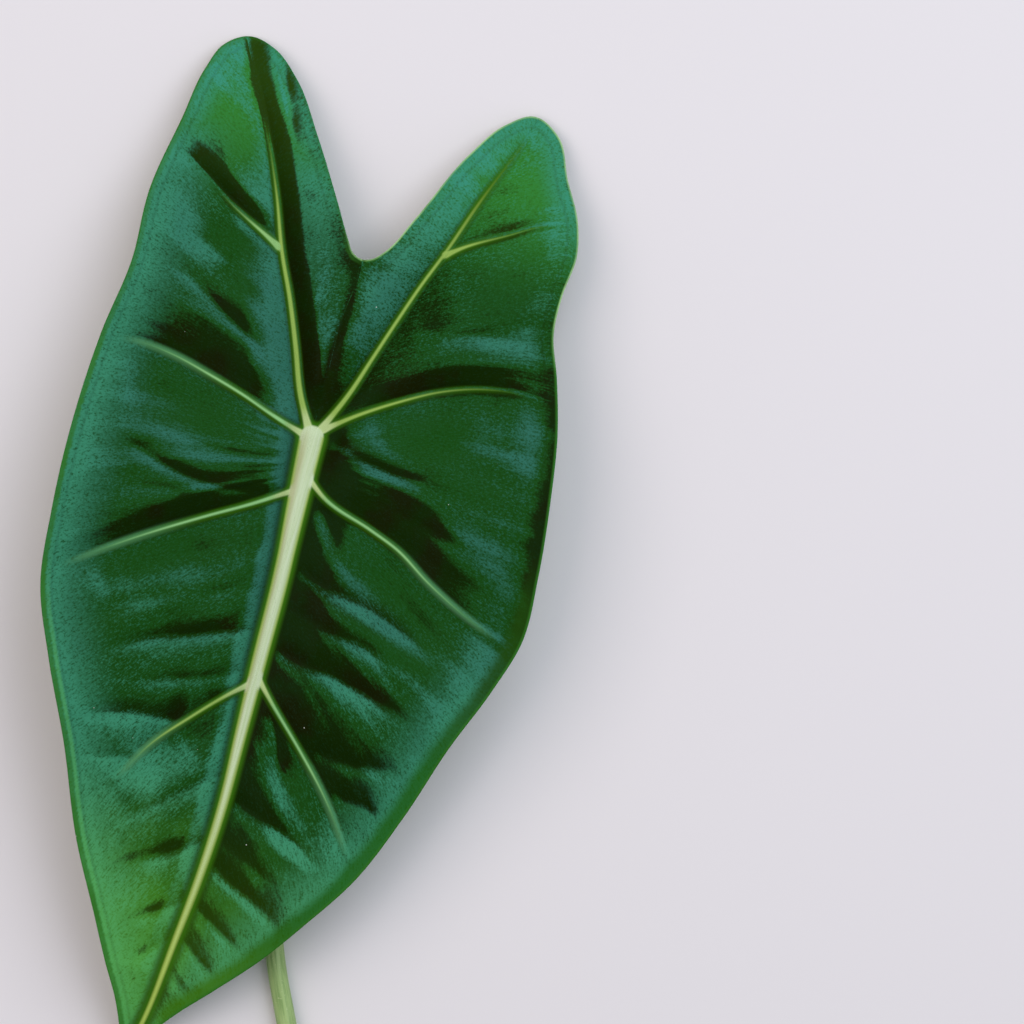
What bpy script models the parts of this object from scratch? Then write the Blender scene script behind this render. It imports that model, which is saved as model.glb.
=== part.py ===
"""Alocasia leaf, picked with its stalk and laid face up: an arrow-shaped blade and the stalk beneath it.

Metres, +Z up. The leaf's length lies along Y, with its tip towards -Y and its two back lobes towards +Y. The blade
is drawn in plan, in millimetres from the junction, the spot where the ribs meet the stalk, and a height is then
worked out for every point of the plan. The finished leaf is moved so that its box stands centred on the origin.
"""

import math
from typing import NamedTuple

import bmesh
import bpy
import numpy as np
from mathutils import Matrix, Vector
from mathutils.geometry import delaunay_2d_cdt

MM = 0.001
INSIDE_ONLY = 1  # delaunay_2d_cdt's output_type that leaves out what lies outside the margin

# Margin of the blade, from the tip up the left side, round the two lobes and down the right side (mm)
OUTLINE = (
    (-4.0, -188.0), (-5.0, -181.0), (-4.6, -173.0), (-5.3, -165.5), (-8.0, -158.5), (-14.0, -148.0),
    (-20.0, -137.0), (-30.0, -119.0), (-40.0, -95.5), (-50.0, -75.0), (-57.0, -58.0), (-59.6, -38.0),
    (-60.8, -10.0), (-60.0, 10.0), (-57.6, 30.0), (-58.4, 50.0), (-55.5, 70.0), (-53.4, 84.0),
    (-50.5, 91.5), (-44.5, 95.5), (-37.5, 94.2), (-29.5, 88.0), (-20.0, 75.0), (-10.0, 59.5),
    (-4.6, 50.8), (-2.6, 48.0), (0.0, 47.0), (2.8, 47.9), (5.2, 50.4), (10.5, 61.0),
    (19.6, 81.5), (26.5, 91.5), (33.5, 95.8), (40.5, 92.5), (46.2, 82.0), (51.8, 72.0),
    (54.0, 63.5), (53.2, 52.0), (53.8, 42.0), (57.8, 31.0), (62.0, 17.0), (65.0, 0.0),
    (67.4, -20.0), (68.0, -38.0), (64.2, -51.5), (57.2, -70.0), (51.0, -90.0), (43.0, -110.0),
    (33.8, -124.5), (25.0, -137.0), (15.2, -148.3), (7.0, -157.5), (2.0, -164.5), (-1.2, -172.0),
    (-2.2, -180.5), (-2.6, -187.0),
)

# Height of the blade along its length: how far each place lies up the leaf, and how high its valleys run (mm)
ARCH = (
    (-190.0, -1.0), (-175.0, 0.3), (-158.0, 4.2), (-130.0, 11.0), (-100.0, 16.5), (-60.0, 20.5),
    (-30.0, 21.0), (0.0, 19.0), (25.0, 15.5), (50.0, 10.0), (75.0, 3.0), (98.0, -5.5),
)

BLADE_THICKNESS = 0.8
TIP_THICKNESS = 1.3  # the drawn-out tip is nearly all rib
TIP_END = -188.0
TIP_LENGTH = 20.0
PANEL_RISE = 6.0  # how far the panels between the ribs stand above the valleys
SIDE_DROOP = 0.0009  # the two halves hang a little lower towards the margin, as the square of the distance
MARGIN_CURL = 1.7
MARGIN_BAND = 6.0
WAVE_HEIGHT = 1.1
WAVE_LENGTH = 58.0
WAVE_BAND = 24.0
WAVE_SHIFT = 17.0  # the two sides don't wave together
FOLD_DEPTH = 0.7
FOLD_REACH = 2.6
SEAT_RADIUS = 4.6  # flat spot under the junction that the stalk is seated on
SEAT_HEIGHT = 15.6

# How close the corners of the blade's triangles lie (mm), and the most that a curve turns between two (radians)
MESH_STEP = 4.3
RIB_ROOM = 0.5
FOLD_ROOM = 1.9
PANEL_ROOM = 3.0
MOST_TURN = 0.4
CURVE_STEP = 2.0  # for measuring how far a spot is from a curve
HAIR = 1e-3  # so that a corner drawn on a limit counts as inside it

STALK_SIDES = 12
STALK_STEP = 4.5
STALK_RADII = ((0.0, 2.6), (0.12, 2.35), (0.5, 2.6), (1.0, 3.2))  # share of its length, radius (mm)
STALK_GAP = 0.3
# Route of the stalk: across, along, and how far its underside is above the table (mm)
STALK_ROUTE = (
    (0.0, 0.5, 14.5), (0.9, -6.5, 7.6), (2.3, -15.0, 2.6), (4.2, -25.0, 0.4), (6.6, -37.0, 0.0),
    (11.5, -64.0, 0.0), (18.0, -100.0, 0.0), (28.5, -135.0, 0.0), (38.0, -155.0, 0.0), (49.5, -182.0, 0.0),
    (60.5, -215.0, 0.0), (69.0, -250.0, 0.0), (75.0, -282.0, 0.0), (78.5, -305.0, 0.0),
)


class Rib(NamedTuple):
    """A rib of the blade: its line in plan, and values evenly spaced along it, from its root to its end (mm)."""

    line: tuple
    half_width: tuple
    crown: tuple
    keel: tuple
    valley: tuple  # share of the panels' rise that the lamina sinks by beside the rib
    reach: float  # how far out the valley's walls run


MIDRIB = Rib(
    line=(
        (0.0, 1.5), (1.4, -18.0), (2.8, -40.0), (3.3, -60.0), (3.9, -80.0), (4.5, -100.0),
        (3.8, -120.0), (2.0, -140.0), (0.3, -158.0), (-2.6, -174.0), (-3.6, -186.0),
    ),
    half_width=(3.2, 2.1, 1.9, 1.3, 1.0, 0.9, 1.2),
    crown=(1.0, 0.9, 0.8, 0.6, 0.5, 0.4, 0.3),
    keel=(3.2, 2.8, 2.4, 2.0, 1.6, 1.1, 0.5),
    valley=(1.0, 0.9, 0.8, 0.7, 0.6, 0.5, 0.3),
    reach=9.0,
)
LOBE_RIBS = (
    Rib(
        line=((-1.0, 0.5), (-5.5, 8.5), (-10.3, 20.5), (-15.2, 32.0), (-20.5, 43.0), (-26.0, 57.0),
              (-31.2, 68.5), (-37.0, 80.0), (-44.0, 92.0)),
        half_width=(1.5, 0.7), crown=(0.7, 0.25), keel=(2.2, 0.5), valley=(0.95, 0.6), reach=8.0,
    ),
    Rib(
        line=((2.0, 1.0), (6.6, 12.0), (10.0, 23.0), (13.4, 34.0), (16.8, 44.5), (20.7, 55.0),
              (25.6, 70.0), (32.4, 88.0)),
        half_width=(1.5, 0.7), crown=(0.7, 0.25), keel=(2.2, 0.5), valley=(0.95, 0.45), reach=7.0,
    ),
)
SIDE_RIB_LINES = (
    ((-2.0, -0.5), (-10.0, 1.0), (-20.0, 4.0), (-30.0, 7.0), (-40.0, 9.4), (-48.0, 10.3), (-56.0, 10.0)),
    ((0.5, -15.5), (-10.0, -22.5), (-20.0, -28.5), (-40.0, -41.5), (-54.0, -52.0)),
    ((3.0, -67.5), (-2.0, -72.0), (-10.0, -80.5), (-18.0, -90.0), (-24.5, -102.0)),
    ((2.5, 1.0), (10.0, 6.5), (20.0, 13.5), (30.0, 19.5), (40.0, 23.0), (48.0, 24.3), (57.0, 24.0)),
    ((2.0, -11.5), (8.0, -15.8), (22.0, -20.5), (30.0, -23.5), (40.0, -29.5), (50.0, -34.5), (62.5, -39.5)),
    ((4.0, -65.5), (10.0, -71.5), (20.0, -81.0), (30.0, -91.5), (40.0, -105.0)),
    ((-21.0, 44.0), (-27.0, 47.5), (-36.0, 52.5), (-48.0, 60.5), (-54.0, 63.5)),
    ((19.5, 53.5), (25.0, 57.5), (35.0, 63.5), (44.0, 68.8), (51.0, 71.0)),
)
SIDE_RIBS = tuple(
    Rib(line, half_width=(1.1, 0.6), crown=(0.5, 0.2), keel=(1.3, 0.3), valley=(0.6, 0.35), reach=6.0)
    for line in SIDE_RIB_LINES
)
RIBS = (MIDRIB, *LOBE_RIBS, *SIDE_RIBS)

# Creases that run out from the midrib and the junction between the ribs (mm)
FOLD_LINES = (
    ((0.2, 46.0), (-0.6, 30.0), (0.0, 12.0)),
    ((-52.0, 33.0), (-40.0, 28.0), (-25.0, 19.0)),
    ((-54.0, 21.0), (-42.0, 17.5), (-28.0, 12.5)),
    ((20.0, 33.0), (34.0, 36.0), (50.0, 38.0)),
    ((-50.0, -8.0), (-32.0, -9.0), (-10.0, -12.0)),
    ((-56.0, -19.0), (-38.0, -20.0), (-22.0, -23.5)),
    ((8.0, -5.0), (26.0, -8.5), (48.0, -15.0)),
    ((9.0, -37.5), (26.0, -41.0), (50.0, -49.0)),
    ((9.0, -58.0), (28.0, -60.0), (50.0, -66.0)),
    ((-42.0, -69.0), (-24.0, -62.5), (-1.0, -56.5)),
    ((-44.0, -84.0), (-30.0, -83.0), (-17.0, -78.0)),
    ((8.0, -99.0), (18.0, -104.0), (32.0, -113.0)),
    ((6.5, -117.0), (16.0, -121.5), (29.0, -129.0)),
    ((5.5, -127.5), (13.0, -132.0), (22.0, -138.0)),
    ((4.0, -138.0), (9.0, -142.5), (15.0, -147.0)),
    ((1.0, -103.0), (-7.0, -107.5), (-18.0, -114.0)),
    ((0.5, -114.5), (-7.0, -117.5), (-17.0, -124.0)),
    ((-0.5, -125.5), (-6.0, -128.0), (-14.0, -133.0)),
    ((-1.5, -137.0), (-6.0, -140.5), (-11.0, -145.0)),
)


def smooth_curve(points, step, closed=False):
    """Points along a smooth curve through the given ones, at most a step apart and closer in its bends."""
    knots = np.array(points, float)
    ahead = np.roll(knots, -1, axis=0) - knots
    if not closed:
        ahead[-1] = ahead[-2]
    length = np.linalg.norm(ahead, axis=1)[:, None]
    heading = ahead / length
    behind, before = np.roll(heading, 1, axis=0), np.roll(length, 1, axis=0)
    if not closed:
        behind[0], before[0] = heading[0], length[0]
    tangent = heading * before + behind * length
    tangent /= np.linalg.norm(tangent, axis=1)[:, None]
    spans = len(knots) if closed else len(knots) - 1
    curve = []
    for i in range(spans):
        j = (i + 1) % len(knots)
        turn = math.acos(np.clip(tangent[i] @ tangent[j], -1, 1))
        count = math.ceil(max(length[i, 0] / step, turn / MOST_TURN))
        s = np.arange(count)[:, None] / count
        start, end = tangent[i] * length[i], tangent[j] * length[i]
        curve.append(
            (2 * s**3 - 3 * s**2 + 1) * knots[i] + (s**3 - 2 * s**2 + s) * start
            + (3 * s**2 - 2 * s**3) * knots[j] + (s**3 - s**2) * end
        )
    if not closed:
        curve.append(knots[-1:])
    return np.concatenate(curve)


def nearest_on(curve, spots):
    """How far each spot is from the curve, and the share of the curve's length at its nearest point."""
    start, run = curve[:-1], np.diff(curve, axis=0)
    share = np.einsum("sij,ij->si", spots[:, None] - start, run) / (run**2).sum(1)
    share = share.clip(0, 1)
    away = np.linalg.norm(spots[:, None] - start - share[..., None] * run, axis=2)
    best = away.argmin(1)
    rows = np.arange(len(spots))
    lengths = np.linalg.norm(run, axis=1)
    travelled = np.concatenate([[0], lengths.cumsum()])
    along = (travelled[best] + share[rows, best] * lengths[best]) / travelled[-1]
    return away[rows, best], along


def from_margin(spots, margin):
    """How far each spot is from the blade's margin."""
    return nearest_on(np.concatenate([margin, margin[:1]]), spots)[0]


def read_at(pairs, where):
    """Values between the given (place, value) pairs, with no jump in slope at them."""
    span = pairs[-1][0] - pairs[0][0]
    fine = smooth_curve(pairs, span / 200)
    return np.interp(where, fine[:, 0], fine[:, 1])


def between(values, along):
    """A value at each share of a rib's length, read from those evenly spaced along it."""
    return np.interp(along, np.linspace(0, 1, len(values)), values)


def bulge(away, half_width):
    """A rounded ridge: 1 on its line, 0 from its edge outwards."""
    return np.sqrt((1 - (away / half_width) ** 2).clip(0))


def panel_shape(spots):
    """The share of the panels' full rise at each spot: none in the valleys along the ribs, all of it between them."""
    shape = np.ones(len(spots))
    for rib in RIBS:
        away, along = nearest_on(smooth_curve(rib.line, CURVE_STEP), spots)
        outside = (away - between(rib.half_width, along)).clip(0)
        shape *= 1 - between(rib.valley, along) * np.exp(-outside / rib.reach)
    return shape


def fold_depth(spots):
    """How far the creases sink the lamina, fading out at both ends of each."""
    depth = np.zeros(len(spots))
    for line in FOLD_LINES:
        away, along = nearest_on(smooth_curve(line, CURVE_STEP), spots)
        depth += FOLD_DEPTH * np.sin(math.pi * along) * np.exp(-((away / FOLD_REACH) ** 2))
    return depth


def lamina_height(spots, margin):
    """Height of the lamina's underside above the table, with no ribs."""
    middle_x, middle_y = np.array(MIDRIB.line[::-1]).T
    across = spots[:, 0] - np.interp(spots[:, 1], middle_y, middle_x)
    edge = from_margin(spots, margin)
    curl = MARGIN_CURL * (1 - edge / MARGIN_BAND).clip(0) ** 2
    turns = (spots[:, 1] + WAVE_SHIFT * np.sign(across)) / WAVE_LENGTH
    wave = WAVE_HEIGHT * np.sin(2 * math.pi * turns) * (1 - edge / WAVE_BAND).clip(0) ** 2
    wave *= (np.abs(across) / WAVE_BAND).clip(0, 1)
    rise = PANEL_RISE * panel_shape(spots) - fold_depth(spots) - SIDE_DROOP * across**2 + curl + wave
    from_tip = ((spots[:, 1] - TIP_END) / (2 * TIP_LENGTH)).clip(0, 1)
    return (read_at(ARCH, spots[:, 1]) + rise * from_tip).clip(0)


def blade_heights(spots, margin):
    """Heights of the blade's underside and upper face at each spot: the lamina with its ribs on both faces."""
    lamina = lamina_height(spots, margin)
    from_tip = ((spots[:, 1] - TIP_END) / TIP_LENGTH).clip(0, 1)
    crown, keel = np.zeros(len(spots)), np.zeros(len(spots))
    for rib in RIBS:
        away, along = nearest_on(smooth_curve(rib.line, CURVE_STEP), spots)
        ridge = bulge(away, between(rib.half_width, along))
        crown = np.maximum(crown, between(rib.crown, along) * ridge)
        keel = np.maximum(keel, between(rib.keel, along) * ridge)
    under = (lamina - keel).clip(0)
    at_seat = np.linalg.norm(spots, axis=1) <= SEAT_RADIUS + HAIR
    under[at_seat] = SEAT_HEIGHT
    thickness = TIP_THICKNESS + (BLADE_THICKNESS - TIP_THICKNESS) * from_tip
    return under, lamina + thickness + crown


def rib_stations(rib):
    """Points on a rib's line and on both of its edges, in rows across it."""
    line = smooth_curve(rib.line, MESH_STEP)
    run = np.gradient(line, axis=0)
    side = np.array([run[:, 1], -run[:, 0]]).T / np.linalg.norm(run, axis=1)[:, None]
    half = between(rib.half_width, np.linspace(0, 1, len(line)))[:, None]
    shares = (0, -1, 1, -0.6, 0.6) if rib is MIDRIB else (0, -1, 1)
    return np.concatenate([line + share * half * side for share in shares])


def margin_row(margin, inset):
    """Points in a row along the margin, at one distance from it."""
    run = np.roll(margin, -1, axis=0) - np.roll(margin, 1, axis=0)
    inwards = np.array([run[:, 1], -run[:, 0]]).T / np.linalg.norm(run, axis=1)[:, None]
    row = margin + inset * inwards
    return row[from_margin(row, margin) > inset * 0.9]


def panel_grid():
    """Points in staggered rows over the whole plan."""
    low, high = np.min(OUTLINE, axis=0), np.max(OUTLINE, axis=0)
    rows = np.arange(low[1], high[1], MESH_STEP * math.sqrt(0.75))
    columns = np.arange(low[0], high[0], MESH_STEP)
    return np.array([(x + (i % 2) * MESH_STEP / 2, y) for i, y in enumerate(rows) for x in columns])


def seat_ring():
    """The junction and two rings round it, which give the stalk's seat its flat underside."""
    spots = [(0.0, 0.0)]
    for radius, count in ((SEAT_RADIUS / 2, 6), (SEAT_RADIUS, 12)):
        angles = np.arange(count) * 2 * math.pi / count
        spots += [(radius * math.cos(a), radius * math.sin(a)) for a in angles]
    return np.array(spots)


def plan_spots(margin):
    """Points inside the margin, each with room round it: the seat's and the ribs' first, the panels' last."""
    groups = [(seat_ring(), RIB_ROOM)]
    groups += [(rib_stations(rib), RIB_ROOM) for rib in RIBS]
    groups += [(margin_row(margin, share * MARGIN_BAND), FOLD_ROOM) for share in (0.45, 1)]
    groups += [(smooth_curve(line, MESH_STEP), FOLD_ROOM) for line in FOLD_LINES]
    groups.append((panel_grid(), PANEL_ROOM))
    kept = margin
    for spots, room in groups:
        for spot in spots[from_margin(spots, margin) > room * 0.7]:
            if np.linalg.norm(kept - spot, axis=1).min() > room:
                kept = np.vstack([kept, spot])
    return kept


def new_object(name, bm, material):
    mesh = bpy.data.meshes.new(name)
    bm.to_mesh(mesh)
    bm.free()
    mesh.shade_smooth()
    mesh.set_sharp_from_angle(angle=math.radians(40))
    mesh.materials.append(material)
    obj = bpy.data.objects.new(name, mesh)
    bpy.context.scene.collection.objects.link(obj)
    return obj


def leaf_material(name, colour, roughness):
    material = bpy.data.materials.new(name)
    material.use_nodes = True
    shader = material.node_tree.nodes["Principled BSDF"]
    shader.inputs["Base Color"].default_value = (*colour, 1)
    shader.inputs["Roughness"].default_value = roughness
    shader.inputs["Metallic"].default_value = 0
    return material


def make_blade():
    """The plan is split into triangles once, so that the two faces match and can't cross, and is then raised."""
    margin = smooth_curve(OUTLINE, MESH_STEP, closed=True)
    spots = plan_spots(margin)
    edge = list(range(len(margin)))
    plan, _, triangles, *_ = delaunay_2d_cdt([Vector(p) for p in spots], [], [edge], INSIDE_ONLY, 1e-5)

    bm = bmesh.new()
    corners = [bm.verts.new((*place, 0)) for place in plan]
    for triangle in triangles:
        bm.faces.new([corners[i] for i in triangle])
    loose = [vert for vert in bm.verts if not vert.link_faces]
    bmesh.ops.delete(bm, geom=loose, context="VERTS")
    raised = set(bmesh.ops.extrude_face_region(bm, geom=bm.faces[:])["geom"])
    under, upper = blade_heights(np.array([vert.co[:2] for vert in bm.verts]), margin)
    for vert, low, high in zip(bm.verts, under, upper):
        vert.co.z = high if vert in raised else low
    bmesh.ops.transform(bm, matrix=Matrix.Scale(MM, 4), verts=bm.verts)
    bmesh.ops.recalc_face_normals(bm, faces=bm.faces)
    return new_object("leaf_blade", bm, leaf_material("blade_green", (0.02, 0.1, 0.025), 0.55))


def stalk_ring(centre, heading, radius):
    """Corners of one section of the stalk, with one flat side straight down."""
    side = heading.cross(Vector((0, 0, 1))).normalized()
    up = side.cross(heading)
    turns = [(k + 0.5) * 2 * math.pi / STALK_SIDES for k in range(STALK_SIDES)]
    return [centre + radius * (math.sin(turn) * side - math.cos(turn) * up) for turn in turns]


def make_stalk():
    """A round stalk along its route, lying on the table, with its top cut level under the blade's seat."""
    route = smooth_curve(STALK_ROUTE, STALK_STEP)
    travelled = np.concatenate([[0], np.linalg.norm(np.diff(route, axis=0), axis=1).cumsum()])
    radii = read_at(STALK_RADII, travelled / travelled[-1])
    route[:, 2] = route[:, 2].clip(0) + radii * math.cos(math.pi / STALK_SIDES)
    headings = np.gradient(route, axis=0)

    bm = bmesh.new()
    rings = []
    for centre, heading, radius in zip(route, headings, radii.tolist()):
        corners = stalk_ring(Vector(centre), Vector(heading).normalized(), radius)
        if not rings:
            top = SEAT_HEIGHT - STALK_GAP
            start = Vector(heading) / heading[2]
            corners = [corner + start * (top - corner.z) for corner in corners]
        rings.append([bm.verts.new(corner) for corner in corners])
    for ring, following in zip(rings, rings[1:]):
        for k in range(STALK_SIDES):
            n = (k + 1) % STALK_SIDES
            bm.faces.new((ring[k], ring[n], following[n], following[k]))
    bm.faces.new(rings[0])
    bm.faces.new(rings[-1])
    bmesh.ops.triangulate(bm, faces=bm.faces)
    bmesh.ops.transform(bm, matrix=Matrix.Scale(MM, 4), verts=bm.verts)
    bmesh.ops.recalc_face_normals(bm, faces=bm.faces)
    return new_object("leaf_stalk", bm, leaf_material("stalk_green", (0.33, 0.5, 0.2), 0.45))


def centre_on_origin(objects):
    """Moves the leaf so that the middle of its box's underside is at the origin."""
    corners = np.array([vert.co for obj in objects for vert in obj.data.vertices])
    low, high = corners.min(axis=0), corners.max(axis=0)
    shift = Matrix.Translation((-(low[0] + high[0]) / 2, -(low[1] + high[1]) / 2, -low[2]))
    for obj in objects:
        obj.data.transform(shift)


for old in list(bpy.data.objects):
    bpy.data.objects.remove(old, do_unlink=True)
centre_on_origin([make_blade(), make_stalk()])
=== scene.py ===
"""Looks of a picked alocasia leaf that lies face up: its velvety blade with the ribs, and its stalk beneath.

The blade is drawn in plan, in millimetres from the junction, the spot where the ribs meet the stalk. Every
spot of the plan then gets its two heights. Each panel between two ribs is a grid fitted between its four
sides, so the rows of faces run with the veins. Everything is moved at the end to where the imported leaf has
its junction.
"""

import math
from typing import NamedTuple

import bmesh
import bpy
import numpy as np
from bpy.props import FloatProperty, FloatVectorProperty, IntProperty, PointerProperty
from mathutils import Matrix, Vector, noise


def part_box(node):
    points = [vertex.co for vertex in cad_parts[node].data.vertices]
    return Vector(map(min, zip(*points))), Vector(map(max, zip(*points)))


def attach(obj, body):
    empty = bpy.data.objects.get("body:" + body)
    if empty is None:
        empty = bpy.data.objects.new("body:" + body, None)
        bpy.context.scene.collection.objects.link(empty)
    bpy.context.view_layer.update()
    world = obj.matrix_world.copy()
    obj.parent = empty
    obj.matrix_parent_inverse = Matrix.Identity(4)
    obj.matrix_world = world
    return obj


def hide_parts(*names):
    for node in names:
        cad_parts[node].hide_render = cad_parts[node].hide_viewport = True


bl_info = {
    "name": "Alocasia Leaf",
    "version": (1, 0, 0),
    "blender": (4, 5, 0),
    "location": "View3D > Sidebar > Leaf",
    "description": "Makes an arrow-shaped leaf with raised pale ribs, its stalk, and a pale floor below",
    "category": "Add Mesh",
}

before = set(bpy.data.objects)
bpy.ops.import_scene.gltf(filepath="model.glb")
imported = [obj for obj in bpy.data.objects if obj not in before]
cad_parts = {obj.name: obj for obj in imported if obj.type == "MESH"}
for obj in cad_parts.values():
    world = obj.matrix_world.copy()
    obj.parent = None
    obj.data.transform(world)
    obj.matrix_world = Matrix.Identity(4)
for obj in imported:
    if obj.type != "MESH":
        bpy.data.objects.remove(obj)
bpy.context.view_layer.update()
MM = 0.001

# Margin of the blade, from the tip up the left side, round the two lobes and down the right side (mm)
OUTLINE = (
    (-4, -188), (-5, -181), (-4.6, -173), (-5.3, -165.5), (-8, -158.5), (-14, -148), (-20, -137),
    (-30, -119), (-40, -95.5), (-50, -75), (-57, -58), (-59.6, -38), (-60.8, -10), (-60, 10), (-57.6, 30),
    (-58.4, 50), (-55.5, 70), (-53.4, 84), (-50.5, 91.5), (-44.5, 95.5), (-37.5, 94.2), (-29.5, 88),
    (-20, 75), (-10, 59.5), (-4.6, 50.8), (-2.6, 48), (0, 47), (2.8, 47.9), (5.2, 50.4), (10.5, 61),
    (19.6, 81.5), (26.5, 91.5), (33.5, 95.8), (40.5, 92.5), (46.2, 82), (51.8, 72), (54, 63.5), (53.2, 52),
    (53.8, 42), (57.8, 31), (62, 17), (65, 0), (67.4, -20), (68, -38), (64.2, -51.5), (57.2, -70),
    (51, -90), (43, -110), (33.8, -124.5), (25, -137), (15.2, -148.3), (7, -157.5), (2, -164.5),
    (-1.2, -172), (-2.2, -180.5), (-2.6, -187),
)

# Height of the blade along its length: how far each place lies up the leaf, and how high its valleys run (mm)
ARCH = (
    (-190, -1), (-175, 0.3), (-158, 4.2), (-130, 11), (-100, 16.5), (-60, 20.5), (-30, 21), (0, 19),
    (25, 15.5), (50, 10), (75, 3), (98, -5.5),
)

TIP_THICKNESS = 1.3
TIP_END = -188.0
TIP_LENGTH = 20.0
EDGE_REACH = 1.5  # how far from its margin the lamina thins
PANEL_RISE = 6.0
SIDE_DROOP = 0.0003
MARGIN_CURL = 1.7
MARGIN_BAND = 6.0
# Place along each side of the leaf, and share of the margin's curl there
RIGHT_CURL = ((-75, 0.3), (-50, 1), (22, 1), (42, 0.2))
LEFT_CURL = ((38, 1), (60, 0.2))
WAVE_HEIGHT = 1.1
WAVE_LENGTH = 58.0
WAVE_BAND = 24.0
WAVE_SHIFT = 17.0
WAVE_SHARES = ((55, 1), (75, 0.25))  # place along the leaf, share of the waves' height
FOLD_BEND = 0.45  # how round the bottom of a crease is
FOLD_ENDS = (0.15, 0.45)  # shares of its length over which a crease begins and fades out
FOLD_CLEAR = (3, 4, 8)  # how far from thin ribs, midrib and margin a crease has its full depth
LOWER_WALL = (1.2, 0.45)  # reach of the wall below a crease, and what it adds by the reach of the wall above
OUTER_WALLS = 0.6  # share of their reach that both walls still have at a crease's outer end
STEEPNESS = 1.35  # power that makes a valley's wall steeper by its rib
VALLEY_END = 0.15  # last share of a rib's length, over which the two walls come to be alike again
FULL_PALE = 0.4  # half the width from which a rib's pale line shows in full
GROWTH_POWER, CROWN_POWER, KEEL_POWER = 0.7, 0.8, 0.5  # of a rib's rise from its root, and of its sections
ROOT_FLARE = 0.5  # how much half the width of a thin rib grows by at its root
ROOT_REACH = 2.5
CROWN_GROWTH = 4.0  # how far from its root a thin rib's crown has grown to its full height
SWELL_HEIGHT = 0.5
PLEAT_DEPTH = 0.4
FINE_PLEATS = 0.35  # share of that depth
SWELL_SIZE = 17.0
PLEAT_SIZE = (7, 28)  # across and along the veins
FINE_PLEAT_SIZE = (3, 16)
PLEAT_CLEAR = 2.0  # how far from a rib they have their full height
LEVEL_SHARE = 0.6  # share of the first panel over which its rows fall behind those of the centre line
LINE_STEP = 0.5
CURVE_STEP = 1.0
READ_STEPS = 200
MOST_TURN = 0.1
CHUNK = 4000  # spots measured against a curve at one time
WELD = 0.004

# Route of the stalk: across, along, and how far its underside is above the floor (mm)
STALK_ROUTE = (
    (0, 0.5, 14.5), (0.9, -6.5, 7.6), (2.3, -15, 2.6), (4.2, -25, 0.4), (6.6, -37, 0), (11.5, -64, 0),
    (18, -100, 0), (28.5, -135, 0), (38, -155, 0), (49.5, -182, 0), (60.5, -215, 0), (69, -250, 0),
    (75, -282, 0), (78.5, -305, 0),
)
STALK_RADII = ((0, 2.6), (0.12, 2.35), (0.5, 2.6), (1, 3.2))  # share of its length, radius (mm)
STALK_FLARE = 0.5  # share that its radius grows by where it meets the blade
FLARE_LENGTH = 4.0
STALK_STEP = 1.2
STALK_WELD = 0.0005
# Rings of the two ends: share of the radius, and how far beyond the route's end (mm)
STALK_HEAD = ((0, -0.9), (0.45, -0.75), (0.8, -0.4))
STALK_CUT = ((0.97, 0.12), (0.9, 0.2), (0.8, 0.14), (0.55, 0), (0.3, -0.04), (0, -0.05))
CUT_SLANT = 0.25
SLANT_REACH = 4.0
LOW_RIDGES = 0.035  # height of the stalk's long low ridges, as a share of its radius
RIDGES_ROUND = 2.2
RIDGE_LENGTH = 40.0


class Rib(NamedTuple):
    """A rib of the blade: its line in plan, and values evenly spaced from its root to its end (mm)."""

    line: tuple
    half_width: tuple
    pale: tuple  # half the width of its pale colour
    crown: tuple
    keel: tuple
    valley: tuple  # share of the panels' rise that the lamina sinks by beside the rib
    walls: tuple  # how wide the valley's two walls are, on its lower side and its upper side
    ledge: float = 0.0  # how far the lamina stays level on the lower side before that wall
    even: float = 0.45  # share of its length from its root over which the two walls come to differ
    cool: float = 0.0  # how far its colour goes from yellow green to pale sea green


MIDRIB = Rib(
    line=(
        (0.4, -1.4), (1.4, -18), (2.8, -40), (3.3, -60), (3.9, -80), (4.5, -100),
        (3.8, -120), (2, -140), (0.3, -158), (-2.6, -174), (-3.6, -186),
    ),
    half_width=(3.1, 2.1, 1.9, 1.3, 1, 0.9, 1.2),
    pale=(3.1, 2.1, 1.85, 1.25, 0.95, 0.6, 0.4),
    crown=(1, 0.9, 0.8, 0.6, 0.5, 0.4, 0.3),
    keel=(3.2, 2.8, 2.4, 2, 1.6, 1.1, 0.5),
    valley=(1, 0.9, 0.8, 0.65, 0.5, 0.4, 0.2),
    walls=(12, 5.5), even=0.04,
)
LEFT_LOBE_RIB = Rib(
    line=((-1, 0.5), (-5.5, 8.5), (-10.3, 20.5), (-15.2, 32), (-20.5, 43), (-26, 57),
          (-31.2, 68.5), (-37, 80), (-45.4, 95.2)),
    half_width=(1.4, 0.7), pale=(0.8, 0.65, 0.5, 0.1, -0.5), crown=(0.7, 0.6, 0.5, 0.35, 0.2, 0, 0),
    keel=(2.2, 0.5), valley=(0.95, 0.8, 0.7, 0.5, 0.15), walls=(11, 5), even=0.1,
)
RIGHT_LOBE_RIB = Rib(
    line=((2, 1), (6.6, 12), (10, 23), (13.4, 34), (16.8, 44.5), (20.7, 55),
          (25.6, 70), (32.4, 88)),
    half_width=(1.4, 0.7), pale=(0.75, 0.5, 0.45, 0.45, 0.1), crown=(0.7, 0.25), keel=(2.2, 0.5),
    valley=(0.95, 0.8, 0.6, 0.4, 0), walls=(11, 8), even=0.1,
)


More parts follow.
